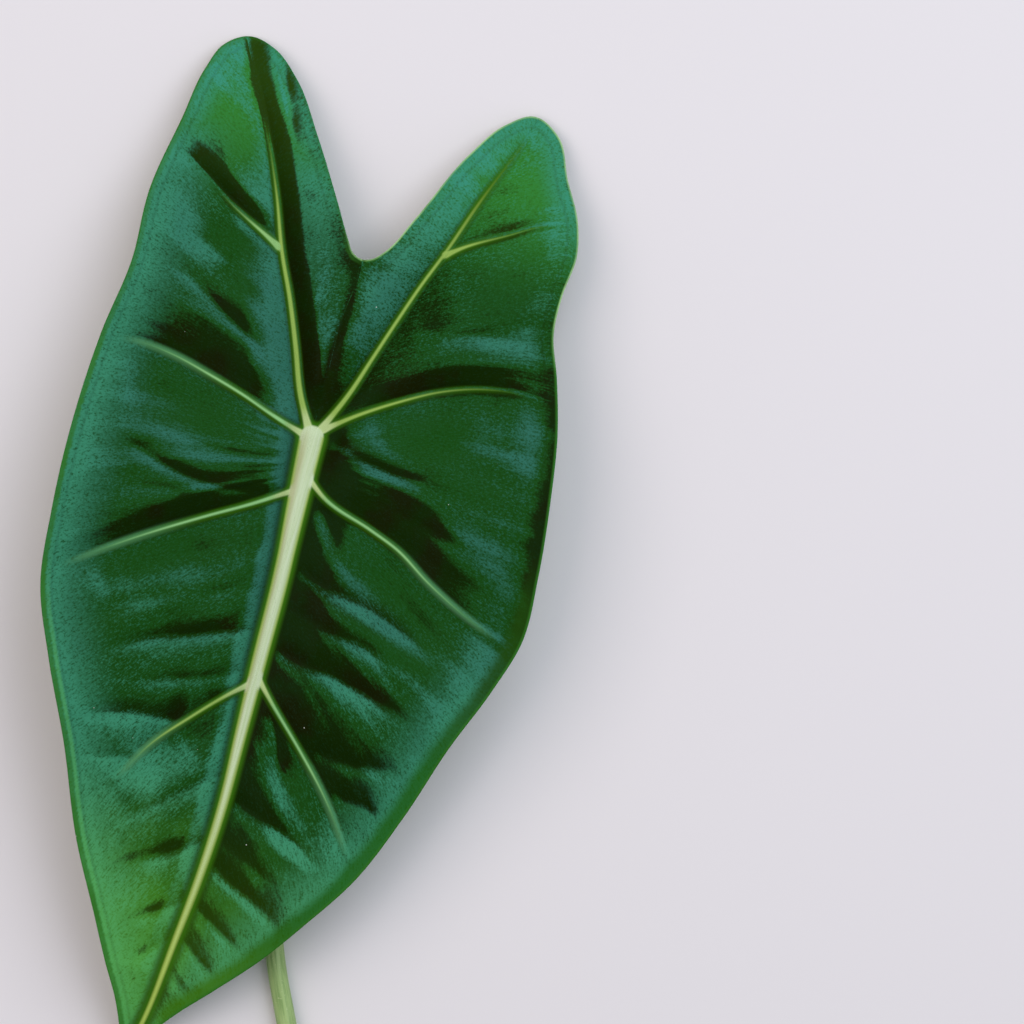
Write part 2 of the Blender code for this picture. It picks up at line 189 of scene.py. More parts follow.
def side_rib(
    *line, walls=(15, 9), ledge=6, depth=1, pale=(0.6, 0.45, 0.4, 0.25, -0.1), cool=1,
    crown=(0.5, 0.45, 0.4, 0.3, 0),
):
    valley = tuple(share * depth for share in (0.1, 0.5, 0.6, 0.45, 0.05))
    return Rib(
        line, half_width=(1, 0.7), pale=pale, crown=crown, keel=(1.3, 0.3), valley=valley,
        walls=walls, ledge=ledge, cool=cool,
    )


class Half(NamedTuple):
    """One half of the blade: its lobe's rib, its side ribs from the tip up, and its rows of faces."""

    lobe_rib: Rib
    side_ribs: tuple
    lobe_side_rib: Rib
    meets_margin: tuple  # where the side ribs' lines and the lobe's side rib reach the margin
    lobe_tip: tuple
    roots: tuple  # rows of the centre line, counted from the tip, that the side ribs start at
    lobe_rows: tuple  # rows of faces along the lobe's rib, below and above its side rib


CENTRE_LEVELS = (-67.5, -65.5, -15.5, -11.5, 0)  # where side ribs leave the midrib
CENTRE_ROWS = (92, 4, 56, 8, 54)  # rows of faces from the tip to the first level, and on to each next one
CREASE_ROWS = 40
COLUMNS = 62
LOBE_COLUMNS = 34

LEFT_HALF = Half(
    LEFT_LOBE_RIB,
    (
        side_rib((3, -67.5), (-2, -72), (-10, -80.5), (-18, -90), (-24.5, -102),
                 walls=(12, 7), ledge=3, depth=0.8, cool=0.1),
        side_rib((0.5, -15.5), (-10, -22.5), (-20, -28.5), (-40, -41.5), (-54, -52), walls=(14, 5.5)),
        side_rib((-2, -1.2), (-10, 1.1), (-20, 4.4), (-30, 7.1), (-40, 9.4), (-48, 10.3),
                 (-56, 10), walls=(16, 12), ledge=8),
    ),
    side_rib((-21.8, 44.3), (-27, 46.8), (-36, 51.2), (-48, 58.6), (-54.5, 62.2), walls=(12, 4.5),
             pale=(0.6, 0.35, 0.1, -0.2, -0.4), cool=0.7, crown=(0.5, 0.3, 0.1, 0, 0)),
    ((-31.5, -116), (-57.8, -55.5), (-60, 10), (-56.9, 63.4)),
    (-45.5, 95.3),
    (92, 152, 214),
    (48, 46),
)
RIGHT_HALF = Half(
    RIGHT_LOBE_RIB,
    (
        side_rib((4, -65.5), (10, -71.5), (20, -81), (30, -91.5), (40, -105),
                 walls=(13, 11), ledge=5),
        side_rib((2, -11.5), (8, -15.8), (22, -20.5), (30, -23.5), (40, -29.5), (50, -34.5),
                 (62.5, -39.5), walls=(16, 13), ledge=7),
        side_rib((3, 1.6), (10, 7.2), (20, 13.9), (30, 19.5), (40, 23), (48, 24.3), (57, 24),
                 walls=(14, 6), ledge=5, pale=(0.6, 0.45, 0.3, 0.2, -0.1), cool=0),
    ),
    side_rib((20.8, 54.2), (25, 57.5), (35, 63.5), (44, 68.8), (51, 71),
             walls=(8, 3.5), ledge=3, depth=0.25, pale=(0.5, 0.35, 0.2, 0.1, -0.2), cool=0),
    ((42.5, -111), (67.7, -41.5), (60, 24), (52.6, 70.5)),
    (34.5, 95.7),
    (96, 160, 214),
    (50, 42),
)
THIN_RIBS = (
    LEFT_LOBE_RIB, RIGHT_LOBE_RIB, *LEFT_HALF.side_ribs, *RIGHT_HALF.side_ribs,
    LEFT_HALF.lobe_side_rib, RIGHT_HALF.lobe_side_rib,
)
JUNCTION = (0.1, 0)
BOSS_DEPTH = 4.2  # swelling of the underside round the stalk's head
BOSS_REACH = 6.5
# The material paints shade and sheen by how far the surface leans this way
TOWARDS_LIGHT = (0.484, 0.875)  # across and along the leaf, towards the window light of the photo
CREASE = (JUNCTION, (0, 12), (-0.6, 30), (0.2, 46), (0, 47))

# Swells and hollows that only the velvet's painted shade and sheen show: across, along, half length, half
# width, turn (degrees), and how much more than the mesh they are painted as leaning to the light
PAINTED_LEANS = (
    (-16, 27, 17, 3.5, 110, 0.16), (20, 68, 24, 8, 70, 0.16), (33, 86, 10, 9, 0, 0.12),
    (46, 69, 10, 5, 110, 0.2), (7, 41, 14, 7, 75, 0.26), (-50, 80, 18, 5, 80, 0.16),
    (-57, -10, 50, 6, 92, 0.12), (56, -58, 16, 7, 71, 0.22), (49, -80, 9, 4, 71, 0.16),
    (56, 10, 14, 6, 100, 0.14), (45, 37, 10, 5, 10, 0.2), (29, -101, 7, 3, -40, 0.1),
    (-32.5, 83, 12, 2, 117, 0.35), (-8, 38, 10, 2.5, 95, 0.16), (54, -20, 10, 8, 0, 0.16),
    (-49, 55, 9, 4, -30, 0.18), (-54, 17, 7, 4, 0, 0.18), (-53, -44, 6, 4, 30, 0.18),
    (58, -31, 6, 5, -30, 0.14), (24, -0.8, 11, 1.6, -15, 0.16), (48, 45, 6, 10, 0, 0.14),
    (-16, -33, 10, 3, 15, 0.1), (-12, -118, 10, 1.8, 30, -0.2), (-7, -132.5, 7, 1.6, 35, -0.2),
    (-6, -144, 6, 1.8, 38, -0.24), (-20, -124, 8, 1.6, 40, -0.12), (-9, -134, 7, 1.8, 36, -0.1),
    (22, -15, 16, 6, -15, -0.16), (45, -18, 7, 5, -40, 0.12), (-26, -23, 24, 4, 32, -0.1),
    (14, -47, 11, 8, -15, -0.2), (15.5, -98, 9, 3.4, -32, -0.24), (18, -106.2, 10, 1.5, -22, 0.12),
    (28, -70, 14, 4, -20, -0.06), (9.5, -24, 7, 1.2, -59, 0.22), (17, -32, 6, 1.3, -38, 0.14),
    (15.5, 4.5, 4, 1.5, -50, 0.12), (2, 13, 12, 6, 90, -0.16), (-39.6, 84.4, 13, 1.7, 117, -0.4),
    (-0.4, 28, 20, 1.6, 90, -0.3), (-30.5, 85.5, 4, 1.3, 115, -0.24), (-26.5, 76.5, 4, 1.5, 115, -0.26),
    (-17.5, 59.5, 3, 2, 150, -0.16),
)
# The same for spots that lack the painted sheen, but stay green
DULL_SPOTS = (
    (38, 48, 9, 7, 40, -0.26), (41, 78, 7, 4.5, 60, -0.3), (43, 61, 5, 3.5, 0, -0.12),
    (-42, 70, 11, 5, -35, -0.28), (-36, 43, 13, 4.5, 5, -0.22), (31, 7, 12, 6.5, 12, -0.28),
    (45, -3, 10, 5, 0, -0.14), (-30, -5, 16, 5, 5, -0.18), (-38, 2, 14, 4, -5, -0.1),
    (-28, -41, 22, 5, 32, -0.18), (-30, -55, 14, 5, 20, -0.08), (33, -34.5, 19, 4.4, -28, -0.2),
    (33, -45.5, 17, 3.4, -15, -0.2), (40, -51, 12, 3, -15, -0.16), (36, -63, 13, 3, -15, -0.14),
    (22, -109, 8, 2.4, -25, -0.2), (45, -91, 7, 4, 0, -0.16), (14, -128, 10, 4, -25, -0.2),
    (-30, -67, 10, 4, 20, -0.08), (-27, 31, 10, 6, 100, -0.18), (-5, -32, 26, 2.4, 91, -0.12),
    (22, -90, 12, 4, -60, -0.16), (-46, -66, 12, 5, 30, -0.1), (-36, -84, 12, 5, -60, -0.08),
)

# Creases of the lamina: depth, reach of the wall above it, and line, from the midrib's side outwards (mm)
FOLD_LINES = (
    (1.6, 2.5, ((0.2, 2), (-0.6, 20), (-0.4, 34), (0.2, 46))),
    (1, 3, ((-14, 14), (-24, 20), (-36, 27), (-50, 34))),
    (0.5, 3, ((-19, 34), (-34, 38), (-50, 42))),
    (0.6, 3, ((18, 32), (34, 36), (50, 38))),
    (0.5, 3, ((25, 47), (36, 52), (48, 54))),
    (0.25, 2, ((-3, -8), (-15, -10.5), (-30, -10.5), (-46, -8))),
    (1.2, 3, ((-6, -17.5), (-13, -19.5), (-22, -20.3), (-32, -19.3), (-42, -16.8), (-50, -14))),
    (0.4, 2, ((-26, -24.5), (-36, -25), (-50, -28))),
    (1.6, 5, ((3, 2), (10, -1.8), (18, -4.2), (26, -4.8), (38, -2.5))),
    (0.5, 3, ((18, -12), (34, -15), (54, -20))),
    (1, 3, ((7.5, -16.5), (11.5, -23), (17, -32))),
    (1.8, 5, ((3, -34), (12, -37.5), (25, -40.5), (40, -45), (52, -51))),
    (1.2, 4, ((3, -45), (14, -48), (28, -50.5), (44, -54.5))),
    (1.8, 5, ((3.5, -56), (12, -58.5), (25, -60.5), (40, -64.5), (53, -70.5))),
    (1.3, 4, ((22, -79.5), (32, -80.8), (42, -80.2), (51, -79.5))),
    (0.9, 3, ((31, -89.5), (40, -91), (48, -94))),
    (0.9, 2, ((10, -71), (13.5, -80), (17.5, -92))),
    (0.5, 2, ((0.5, -42), (-20, -50), (-44, -60))),
    (1.3, 3, ((3, -53), (-10, -57.5), (-22, -62), (-32, -66.5), (-43, -73))),
    (0.7, 2, ((3.5, -63), (-8, -69), (-20, -73), (-33, -77.5))),
    (1.6, 6, ((-11, -82), (-22, -83), (-32, -85.5), (-41, -91))),
    (0.7, 2, ((-20, -95), (-28, -96), (-36, -98.5))),
    (1.5, 3.8, ((4.5, -97), (12, -100), (20, -102.8), (28, -106.5), (36, -111.5))),
    (0.4, 2.2, ((4.5, -108), (12, -112), (26, -118.5))),
    (1.4, 3.2, ((4, -115.5), (12, -119.5), (20, -123.5), (31, -131))),
    (0.8, 1.7, ((3, -127), (10, -131), (23, -139))),
    (0.7, 1.7, ((2.2, -136), (8, -140.5), (17, -147))),
    (0.5, 1.5, ((1.5, -145), (6, -149), (11.5, -154))),
    (1, 2.5, ((4.5, -91), (-6, -99), (-14, -106.5), (-23, -114))),
    (1.3, 3.5, ((4, -110), (-5, -116), (-13, -122))),
    (1.1, 3, ((3, -126), (-4, -131), (-11, -137))),
    (0.8, 2.5, ((2, -137), (-4, -142), (-9, -148))),
)

# What is measured at the blade's spots and kept in its mesh for its material
MEASURED = (
    "margin", "midrib", "rib", "rib_shown", "rib_along", "rib_cool", "panel", "side", "across", "along",
    "fold", "dull",
)
BLADE_LAYERS = ("row", "spot", "upper")

FLOOR_SIZE = 4.0  # half the width of the floor (m)
FLOOR_SHADE = 0.96
FLOOR_PATCHES = 300.0
PHOTO_TURN = 16  # turn of the camera, so that the leaf leans as it does in the photo (degrees)
PHOTO_MIDDLE = (56.1, -5.7, 12)  # middle of the picture, from the junction (mm)
PHOTO_WIDTH = 268.3  # width that the picture takes in at that middle (mm)
# The lights: heading to the right and up in the picture, elevation (degrees), distance and size (m)
LIGHTS = {"window": ((1, 1), 50, 1.4, (1.4, 1.4)), "room": ((-1, 0.3), 55, 1.6, (1.6, 1.2))}


def seen(red, green, blue):
    """A colour given as a screen shows it, 0 to 255, as the linear values that Blender keeps."""
    shares = [channel / 255 for channel in (red, green, blue)]
    return tuple(s / 12.92 if s <= 0.04045 else ((s + 0.055) / 1.055) ** 2.4 for s in shares)


def colour(name, description, red, green, blue):
    return FloatVectorProperty(
        name=name, description=description, subtype="COLOR", default=seen(red, green, blue), min=0, max=1
    )


def length(name, description, millimetres, least=0):
    return FloatProperty(
        name=name, description=description, default=millimetres * MM, min=least * MM,
        precision=5, unit="LENGTH",
    )


def power(name, description, watts):
    return FloatProperty(name=name, description=description, default=watts, min=0, unit="POWER")


class BladeSettings(bpy.types.PropertyGroup):
    thickness: length("Thickness", "Thickness of the lamina between the ribs", 0.7, 0.2)
    edge_thickness: length("Edge", "Thickness of the lamina at its margin", 0.35, 0.1)
    panel: colour("Panels", "Green of the raised panels between the ribs", 24, 72, 18)
    lobes: colour("Lobes", "Brighter green of the panels in the two lobes", 48, 122, 44)
    # The next three colours are painted shade: of the valleys' walls, the creases and the velvet where it leans
    # from the light
    valley: colour("Valleys", "Green of the walls beside the ribs, where the lamina is darkest", 17, 36, 0)
    brown: colour("Brown valleys", "Browner patches of those walls", 21, 26, 0)
    olive: colour("Tip's valleys", "Olive green of those walls towards the tip", 44, 76, 8)
    # The next four colours are a painted sheen: the sea green reflection of the window light, painted into the
    # velvet's colour
    painted_sheen: colour("Bloom", "Sea green of the velvet where it leans towards the light", 58, 136, 104)
    lobe_painted_sheen: colour("Lobes' bloom", "Brighter, bluer bloom of the two lobes", 57, 144, 121)
    tip_painted_sheen: colour("Tip's bloom", "Paler green bloom towards the tip", 86, 168, 88)
    blue_painted_sheen: colour("Blue bloom", "Bluer bloom of the leaf's middle", 48, 108, 92)
    lobe_end: colour("Lobe ribs' ends", "Olive green of the ribs' ends in the two lobes", 82, 114, 16)
    lit_edge: colour("Lit margin", "Pale rim of the right lobe, where the light catches it", 164, 206, 140)
    tip: colour("Tip", "Younger green towards the tip", 84, 160, 46)
    midrib: colour("Midrib", "Cream green of the midrib at the junction", 200, 217, 180)
    midrib_end: colour("Midrib's end", "Yellow green of the midrib near the tip", 190, 214, 104)
    tan: colour("Midrib's left side", "Duller cream of the side that leans from the light", 164, 156, 104)
    rim: colour("Midrib's rims", "Yellow green of the midrib's two rims", 148, 176, 74)
    rib_root: colour("Rib roots", "Cream green of the thin ribs' roots", 180, 202, 138)
    rib: colour("Ribs", "Yellow green of the thin ribs", 144, 176, 84)
    cool_rib: colour("Cool ribs", "Pale sea green of the side ribs that catch the light", 136, 190, 124)
    rib_end: colour("Rib ends", "Green of the thin ribs' outer ends", 100, 164, 106)
    # Painted sheen along the side ribs' raised outer halves
    ridge: colour("Rib ridges", "Sea green of the lamina along the side ribs' outer halves", 88, 150, 104)
    halo: colour("Rib edges", "Green that edges the ribs", 56, 108, 10)
    edge: colour("Margin", "Green of the margin", 50, 112, 34)
    # The next three colours are painted: shade where the curled right margin leans from the light, paler
    # towards the tip where light through it is painted
    band_dark: colour("Dark margin band", "Dark green of the right margin, half way down", 30, 68, 4)
    band: colour("Margin band", "Deep green of the right margin, further down", 32, 92, 8)
    band_tip: colour("Margin band by the tip", "Olive green of the right margin, by the tip", 60, 116, 6)
    dust: colour("Dust", "Pale specks of dust", 220, 225, 215)
    under: colour("Underside", "Dull pale green of the underside", 122, 150, 96)
    under_rib: colour("Underside ribs", "Cream green of the ribs on the underside", 186, 200, 140)
    roughness: FloatProperty(
        name="Roughness", description="How dull the upper face is",
        default=0.36, min=0, max=1, subtype="FACTOR",
    )


class StalkSettings(bpy.types.PropertyGroup):
    sides: IntProperty(name="Sides", description="Faces round the stalk", default=36, min=8, max=64)
    skin: colour("Skin", "Pale green of the stalk", 158, 186, 118)
    streak: colour("Streaks", "Darker green of the stalk's long streaks", 118, 152, 84)
    shade: colour("Shade", "Greyer green in the stalk's broad bands", 132, 160, 104)
    pith: colour("Pith", "Pale flesh of the cut end", 214, 222, 176)
    strand: colour("Strands", "Darker strands in the cut end's flesh", 150, 162, 96)


class StageSettings(bpy.types.PropertyGroup):
    floor: colour("Floor", "Pale floor", 231, 228, 230)
    window: colour("Window light", "Slightly bluish light from the far right", 240, 246, 255)
    window_power: power("Window power", "Power of the window light", 14)
    room: colour("Room light", "Warm light of the room", 255, 238, 230)
    room_power: power("Room power", "Power of the room's light", 10.5)
    sky: colour("Sky", "Light from all round", 236, 240, 248)
    sky_strength: FloatProperty(
        name="Sky strength", description="Strength of the light from all round", default=0.4, min=0
    )
    camera_height: length("Camera height", "How far above the blade the camera is", 4000, 300)


def smooth_curve(points, step, closed=False):
    """Points along a smooth curve through the given ones, at most a step apart and closer in its bends."""
    knots = np.array(points, float)
    ahead = np.roll(knots, -1, axis=0) - knots
    if not closed:
        ahead[-1] = ahead[-2]
    size = np.linalg.norm(ahead, axis=1)[:, None]
    heading = ahead / size
    behind, before = np.roll(heading, 1, axis=0), np.roll(size, 1, axis=0)
    if not closed:
        behind[0], before[0] = heading[0], size[0]
    tangent = heading * before + behind * size
    tangent /= np.linalg.norm(tangent, axis=1)[:, None]
    spans = len(knots) if closed else len(knots) - 1
    curve = []
    for i in range(spans):
        j = (i + 1) % len(knots)
        turn = math.acos(np.clip(tangent[i] @ tangent[j], -1, 1))
        count = math.ceil(max(size[i, 0] / step, turn / MOST_TURN))
        s = np.arange(count)[:, None] / count
        start, end = tangent[i] * size[i], tangent[j] * size[i]
        curve.append(
            (2 * s**3 - 3 * s**2 + 1) * knots[i] + (s**3 - 2 * s**2 + s) * start
            + (3 * s**2 - 2 * s**3) * knots[j] + (s**3 - s**2) * end
        )
    if not closed:
        curve.append(knots[-1:])
    return np.concatenate(curve)


def travelled(points):
    """How far along a row of points each one is."""
    return np.concatenate([[0], np.linalg.norm(np.diff(points, axis=0), axis=1).cumsum()])


def at_distance(curve, distances):
    """Points of a curve at the given distances along it."""
    along = travelled(curve)
    return np.array([np.interp(distances, along, axis) for axis in curve.T]).T


def spread_along(curve, shares):
    """Points of a curve at the given shares of its length."""
    return at_distance(curve, shares * travelled(curve)[-1])


def nearest_on(curve, spots):
    """How far each spot is from the curve, the share of its length there, and if it is to the left."""
    as_number = np.array((1, 1j), np.complex64)  # a place in plan as one complex number
    start, run = curve[:-1] @ as_number, np.diff(curve, axis=0) @ as_number
    along = travelled(curve)
    found = []
    for some in np.array_split(spots @ as_number, math.ceil(len(spots) / CHUNK)):
        gap = some[:, None] - start
        share = ((gap * run.conj()).real / abs(run) ** 2).clip(0, 1)
        away = abs(gap - share * run)
        best = away.argmin(1)
        rows = np.arange(len(some))
        place = along[best] + share[rows, best] * (along[best + 1] - along[best])
        left = (gap * run.conj()).imag[rows, best] > 0
        found.append((away[rows, best], place / along[-1], left))
    return tuple(np.concatenate(part) for part in zip(*found))


def read_at(pairs, where):
    """Values between the given (place, value) pairs, with no jump in slope at them."""
    span = pairs[-1][0] - pairs[0][0]
    fine = smooth_curve(pairs, span / READ_STEPS)
    return np.interp(where, fine[:, 0], fine[:, 1])


def between(values, along):
    """A value at each share of a rib's length, read from those evenly spaced along it."""
    return np.interp(along, np.linspace(0, 1, len(values)), values)


def ramp(value, reach):
    """0 up to nothing and 1 from the reach on, with an even rise between."""
    return (value / reach).clip(0, 1)


def eased(share):
    """A share that leaves 0 and meets 1 softly."""
    return share**2 * (3 - 2 * share)


def spread(count, fine_start=True, fine_end=True, first=0.35, growth=1.22):
    """Shares of a length that split it into rows, which are finer by an end that lies on a rib."""
    steps = np.ones(count)
    grown = (first * growth ** np.arange(count)).clip(0, 1)
    if fine_start:
        steps = np.minimum(steps, grown)
    if fine_end:
        steps = np.minimum(steps, grown[::-1])
    return np.concatenate([[0], steps.cumsum() / steps.sum()])


def keep_level(shares, margin, centre):
    """Shares of the margin that stay level with the centre line's rows by the tip, and then fall behind."""
    level = np.interp(centre[:, 1], margin[:, 1], travelled(margin)) / travelled(margin)[-1]
    behind = eased(ramp(np.linspace(0, 1, len(shares)), LEVEL_SHARE))
    return (1 - behind) * level + behind * shares


class Plan:
    """The blade's lines in plan, in millimetres from the junction: its margin, centre line and crease."""

    def __init__(self):
        margin = smooth_curve(OUTLINE, LINE_STEP, closed=True)
        margin = np.roll(margin, -margin[:, 1].argmin(), axis=0)
        self.margin = np.concatenate([margin, margin[:1]])
        self.tip = self.margin[0]
        self.centre = self.centre_line()
        self.crease = spread_along(smooth_curve(CREASE, LINE_STEP), spread(CREASE_ROWS))

    def centre_line(self):
        """Points of the centre line from the tip to the junction, one for each row of faces."""
        curve = smooth_curve((tuple(self.tip), *MIDRIB.line[-2:0:-1], JUNCTION), LINE_STEP)
        along = travelled(curve)
        stops = [0, *np.interp(CENTRE_LEVELS, curve[:, 1], along)]
        rows = [0]
        for i, count in enumerate(CENTRE_ROWS):
            fine = spread(count, fine_start=i == 2, fine_end=i in (0, 2))
            rows += list(stops[i] + fine[1:] * (stops[i + 1] - stops[i]))
        return at_distance(curve, rows)

    def on_margin(self, spot):
        """How far along the margin, from the tip, the place nearest to a spot is."""
        return nearest_on(self.margin, np.array([spot]))[1][0] * travelled(self.margin)[-1]

    def margin_point(self, distance):
        return at_distance(self.margin, [distance])[0]

    def margin_rows(self, start, end, shares):
        """Points of the margin between two distances along it."""
        return at_distance(self.margin, start + shares * (end - start))


def rib_row(start, rib, end, shares):
    """Points along a rib's line, from its start on another rib to where it reaches the margin."""
    row = spread_along(smooth_curve((tuple(start), *rib.line[1:], tuple(end)), LINE_STEP), shares)
    row[0], row[-1] = start, end
    return row


def fill_panel(bm, inner, outer, lower, upper, across, begin=0, margin_inside=False):
    """A grid of faces fitted between four rows of points that meet at its corners.

    The grid's corners keep how far along the margin their row is, counted on from where the last panel ended.
    """
    grid = bmesh.ops.create_grid(bm, x_segments=len(lower) - 1, y_segments=len(inner) - 1, size=1)["verts"]
    inner_along, outer_along = travelled(inner), travelled(outer)
    c = across[None, :, None]
    by_inner, by_outer = ((along / along[-1])[:, None, None] for along in (inner_along, outer_along))
    d = by_inner * (1 - c) + by_outer * c
    places = (1 - c) * inner[:, None] + c * outer[:, None]
    for row, weight in ((lower, (1 - d) ** 2), (upper, d**2)):
        places = places + weight * (row - (1 - c) * row[0] - c * row[-1])

    row_layer = bm.verts.layers.float["row"]
    by_margin = inner_along if margin_inside else outer_along
    for n, vert in enumerate(grid):
        k, j = divmod(n, len(lower))
        vert.co.xy = places[k, j]
        vert[row_layer] = begin + by_margin[k]
    return begin + by_margin[-1]


def fill_half(bm, plan, half):
    """The panels of one half, from the tip up, and the inner panel of its lobe."""
    ends = [plan.on_margin(spot) for spot in half.meets_margin]
    lobe_tip_at = plan.on_margin(half.lobe_tip)
    sinus_at = plan.on_margin(CREASE[-1])
    begin = 0 if half is LEFT_HALF else travelled(plan.margin)[-1]
    columns = spread(COLUMNS, first=0.4, growth=1.12)
    lobe_columns = spread(LOBE_COLUMNS)

    junction, lobe_tip = plan.centre[-1], plan.margin_point(lobe_tip_at)
    rib_curve = smooth_curve((tuple(junction), *half.lobe_rib.line[1:-1], tuple(lobe_tip)), LINE_STEP)
    rib_length = travelled(rib_curve)[-1]
    fork = nearest_on(rib_curve, np.array([half.lobe_side_rib.line[0]]))[1][0] * rib_length
    below, above = half.lobe_rows
    lobe_line = at_distance(rib_curve, np.concatenate([
        spread(below, fine_start=False) * fork,
        (fork + spread(above, fine_end=False) * (rib_length - fork))[1:],
    ]))
    lobe_line[0], lobe_line[-1] = junction, lobe_tip

    lower = np.repeat(plan.tip[None], COLUMNS + 1, axis=0)
    start_row, start_at, row = 0, begin, 0.0
    for i, (root, rib) in enumerate(zip(half.roots, half.side_ribs)):
        inner = plan.centre[start_row:root + 1]
        upper = rib_row(inner[-1], rib, plan.margin_point(ends[i]), columns)
        shares = spread(root - start_row, fine_start=i > 0)
        if i == 0:
            fine = np.linspace(0, 1, READ_STEPS)
            shares = keep_level(shares, plan.margin_rows(begin, ends[i], fine), inner)
        row = fill_panel(bm, inner, plan.margin_rows(start_at, ends[i], shares), lower, upper, columns, row)
        lower, start_row, start_at = upper, root, ends[i]

    inner = lobe_line[:below + 1]
    upper = rib_row(inner[-1], half.lobe_side_rib, plan.margin_point(ends[3]), columns)
    row = fill_panel(bm, inner, plan.margin_rows(ends[2], ends[3], spread(below)), lower, upper, columns, row)
    inner, lower = lobe_line[below:], upper
    upper = np.repeat(lobe_tip[None], COLUMNS + 1, axis=0)
    outer = plan.margin_rows(ends[3], lobe_tip_at, spread(above, fine_end=False))
    fill_panel(bm, inner, outer, lower, upper, columns, row)

    rows = below + above - CREASE_ROWS
    inner_margin = plan.margin_rows(sinus_at, lobe_tip_at, spread(rows, fine_start=False, fine_end=False))
    plan.crease[0], plan.crease[-1] = junction, inner_margin[0]
    inner = np.concatenate([plan.crease, inner_margin[1:]])
    lower = np.repeat(junction[None], LOBE_COLUMNS + 1, axis=0)
    upper = np.repeat(lobe_tip[None], LOBE_COLUMNS + 1, axis=0)
    fill_panel(bm, inner, lobe_line, lower, upper, lobe_columns, margin_inside=True)


def lower_side(line, left):
    """If spots lie on the lower side of a vein's line; given is if they lie to the left of it."""
    return left == (line[-1][0] < line[0][0])


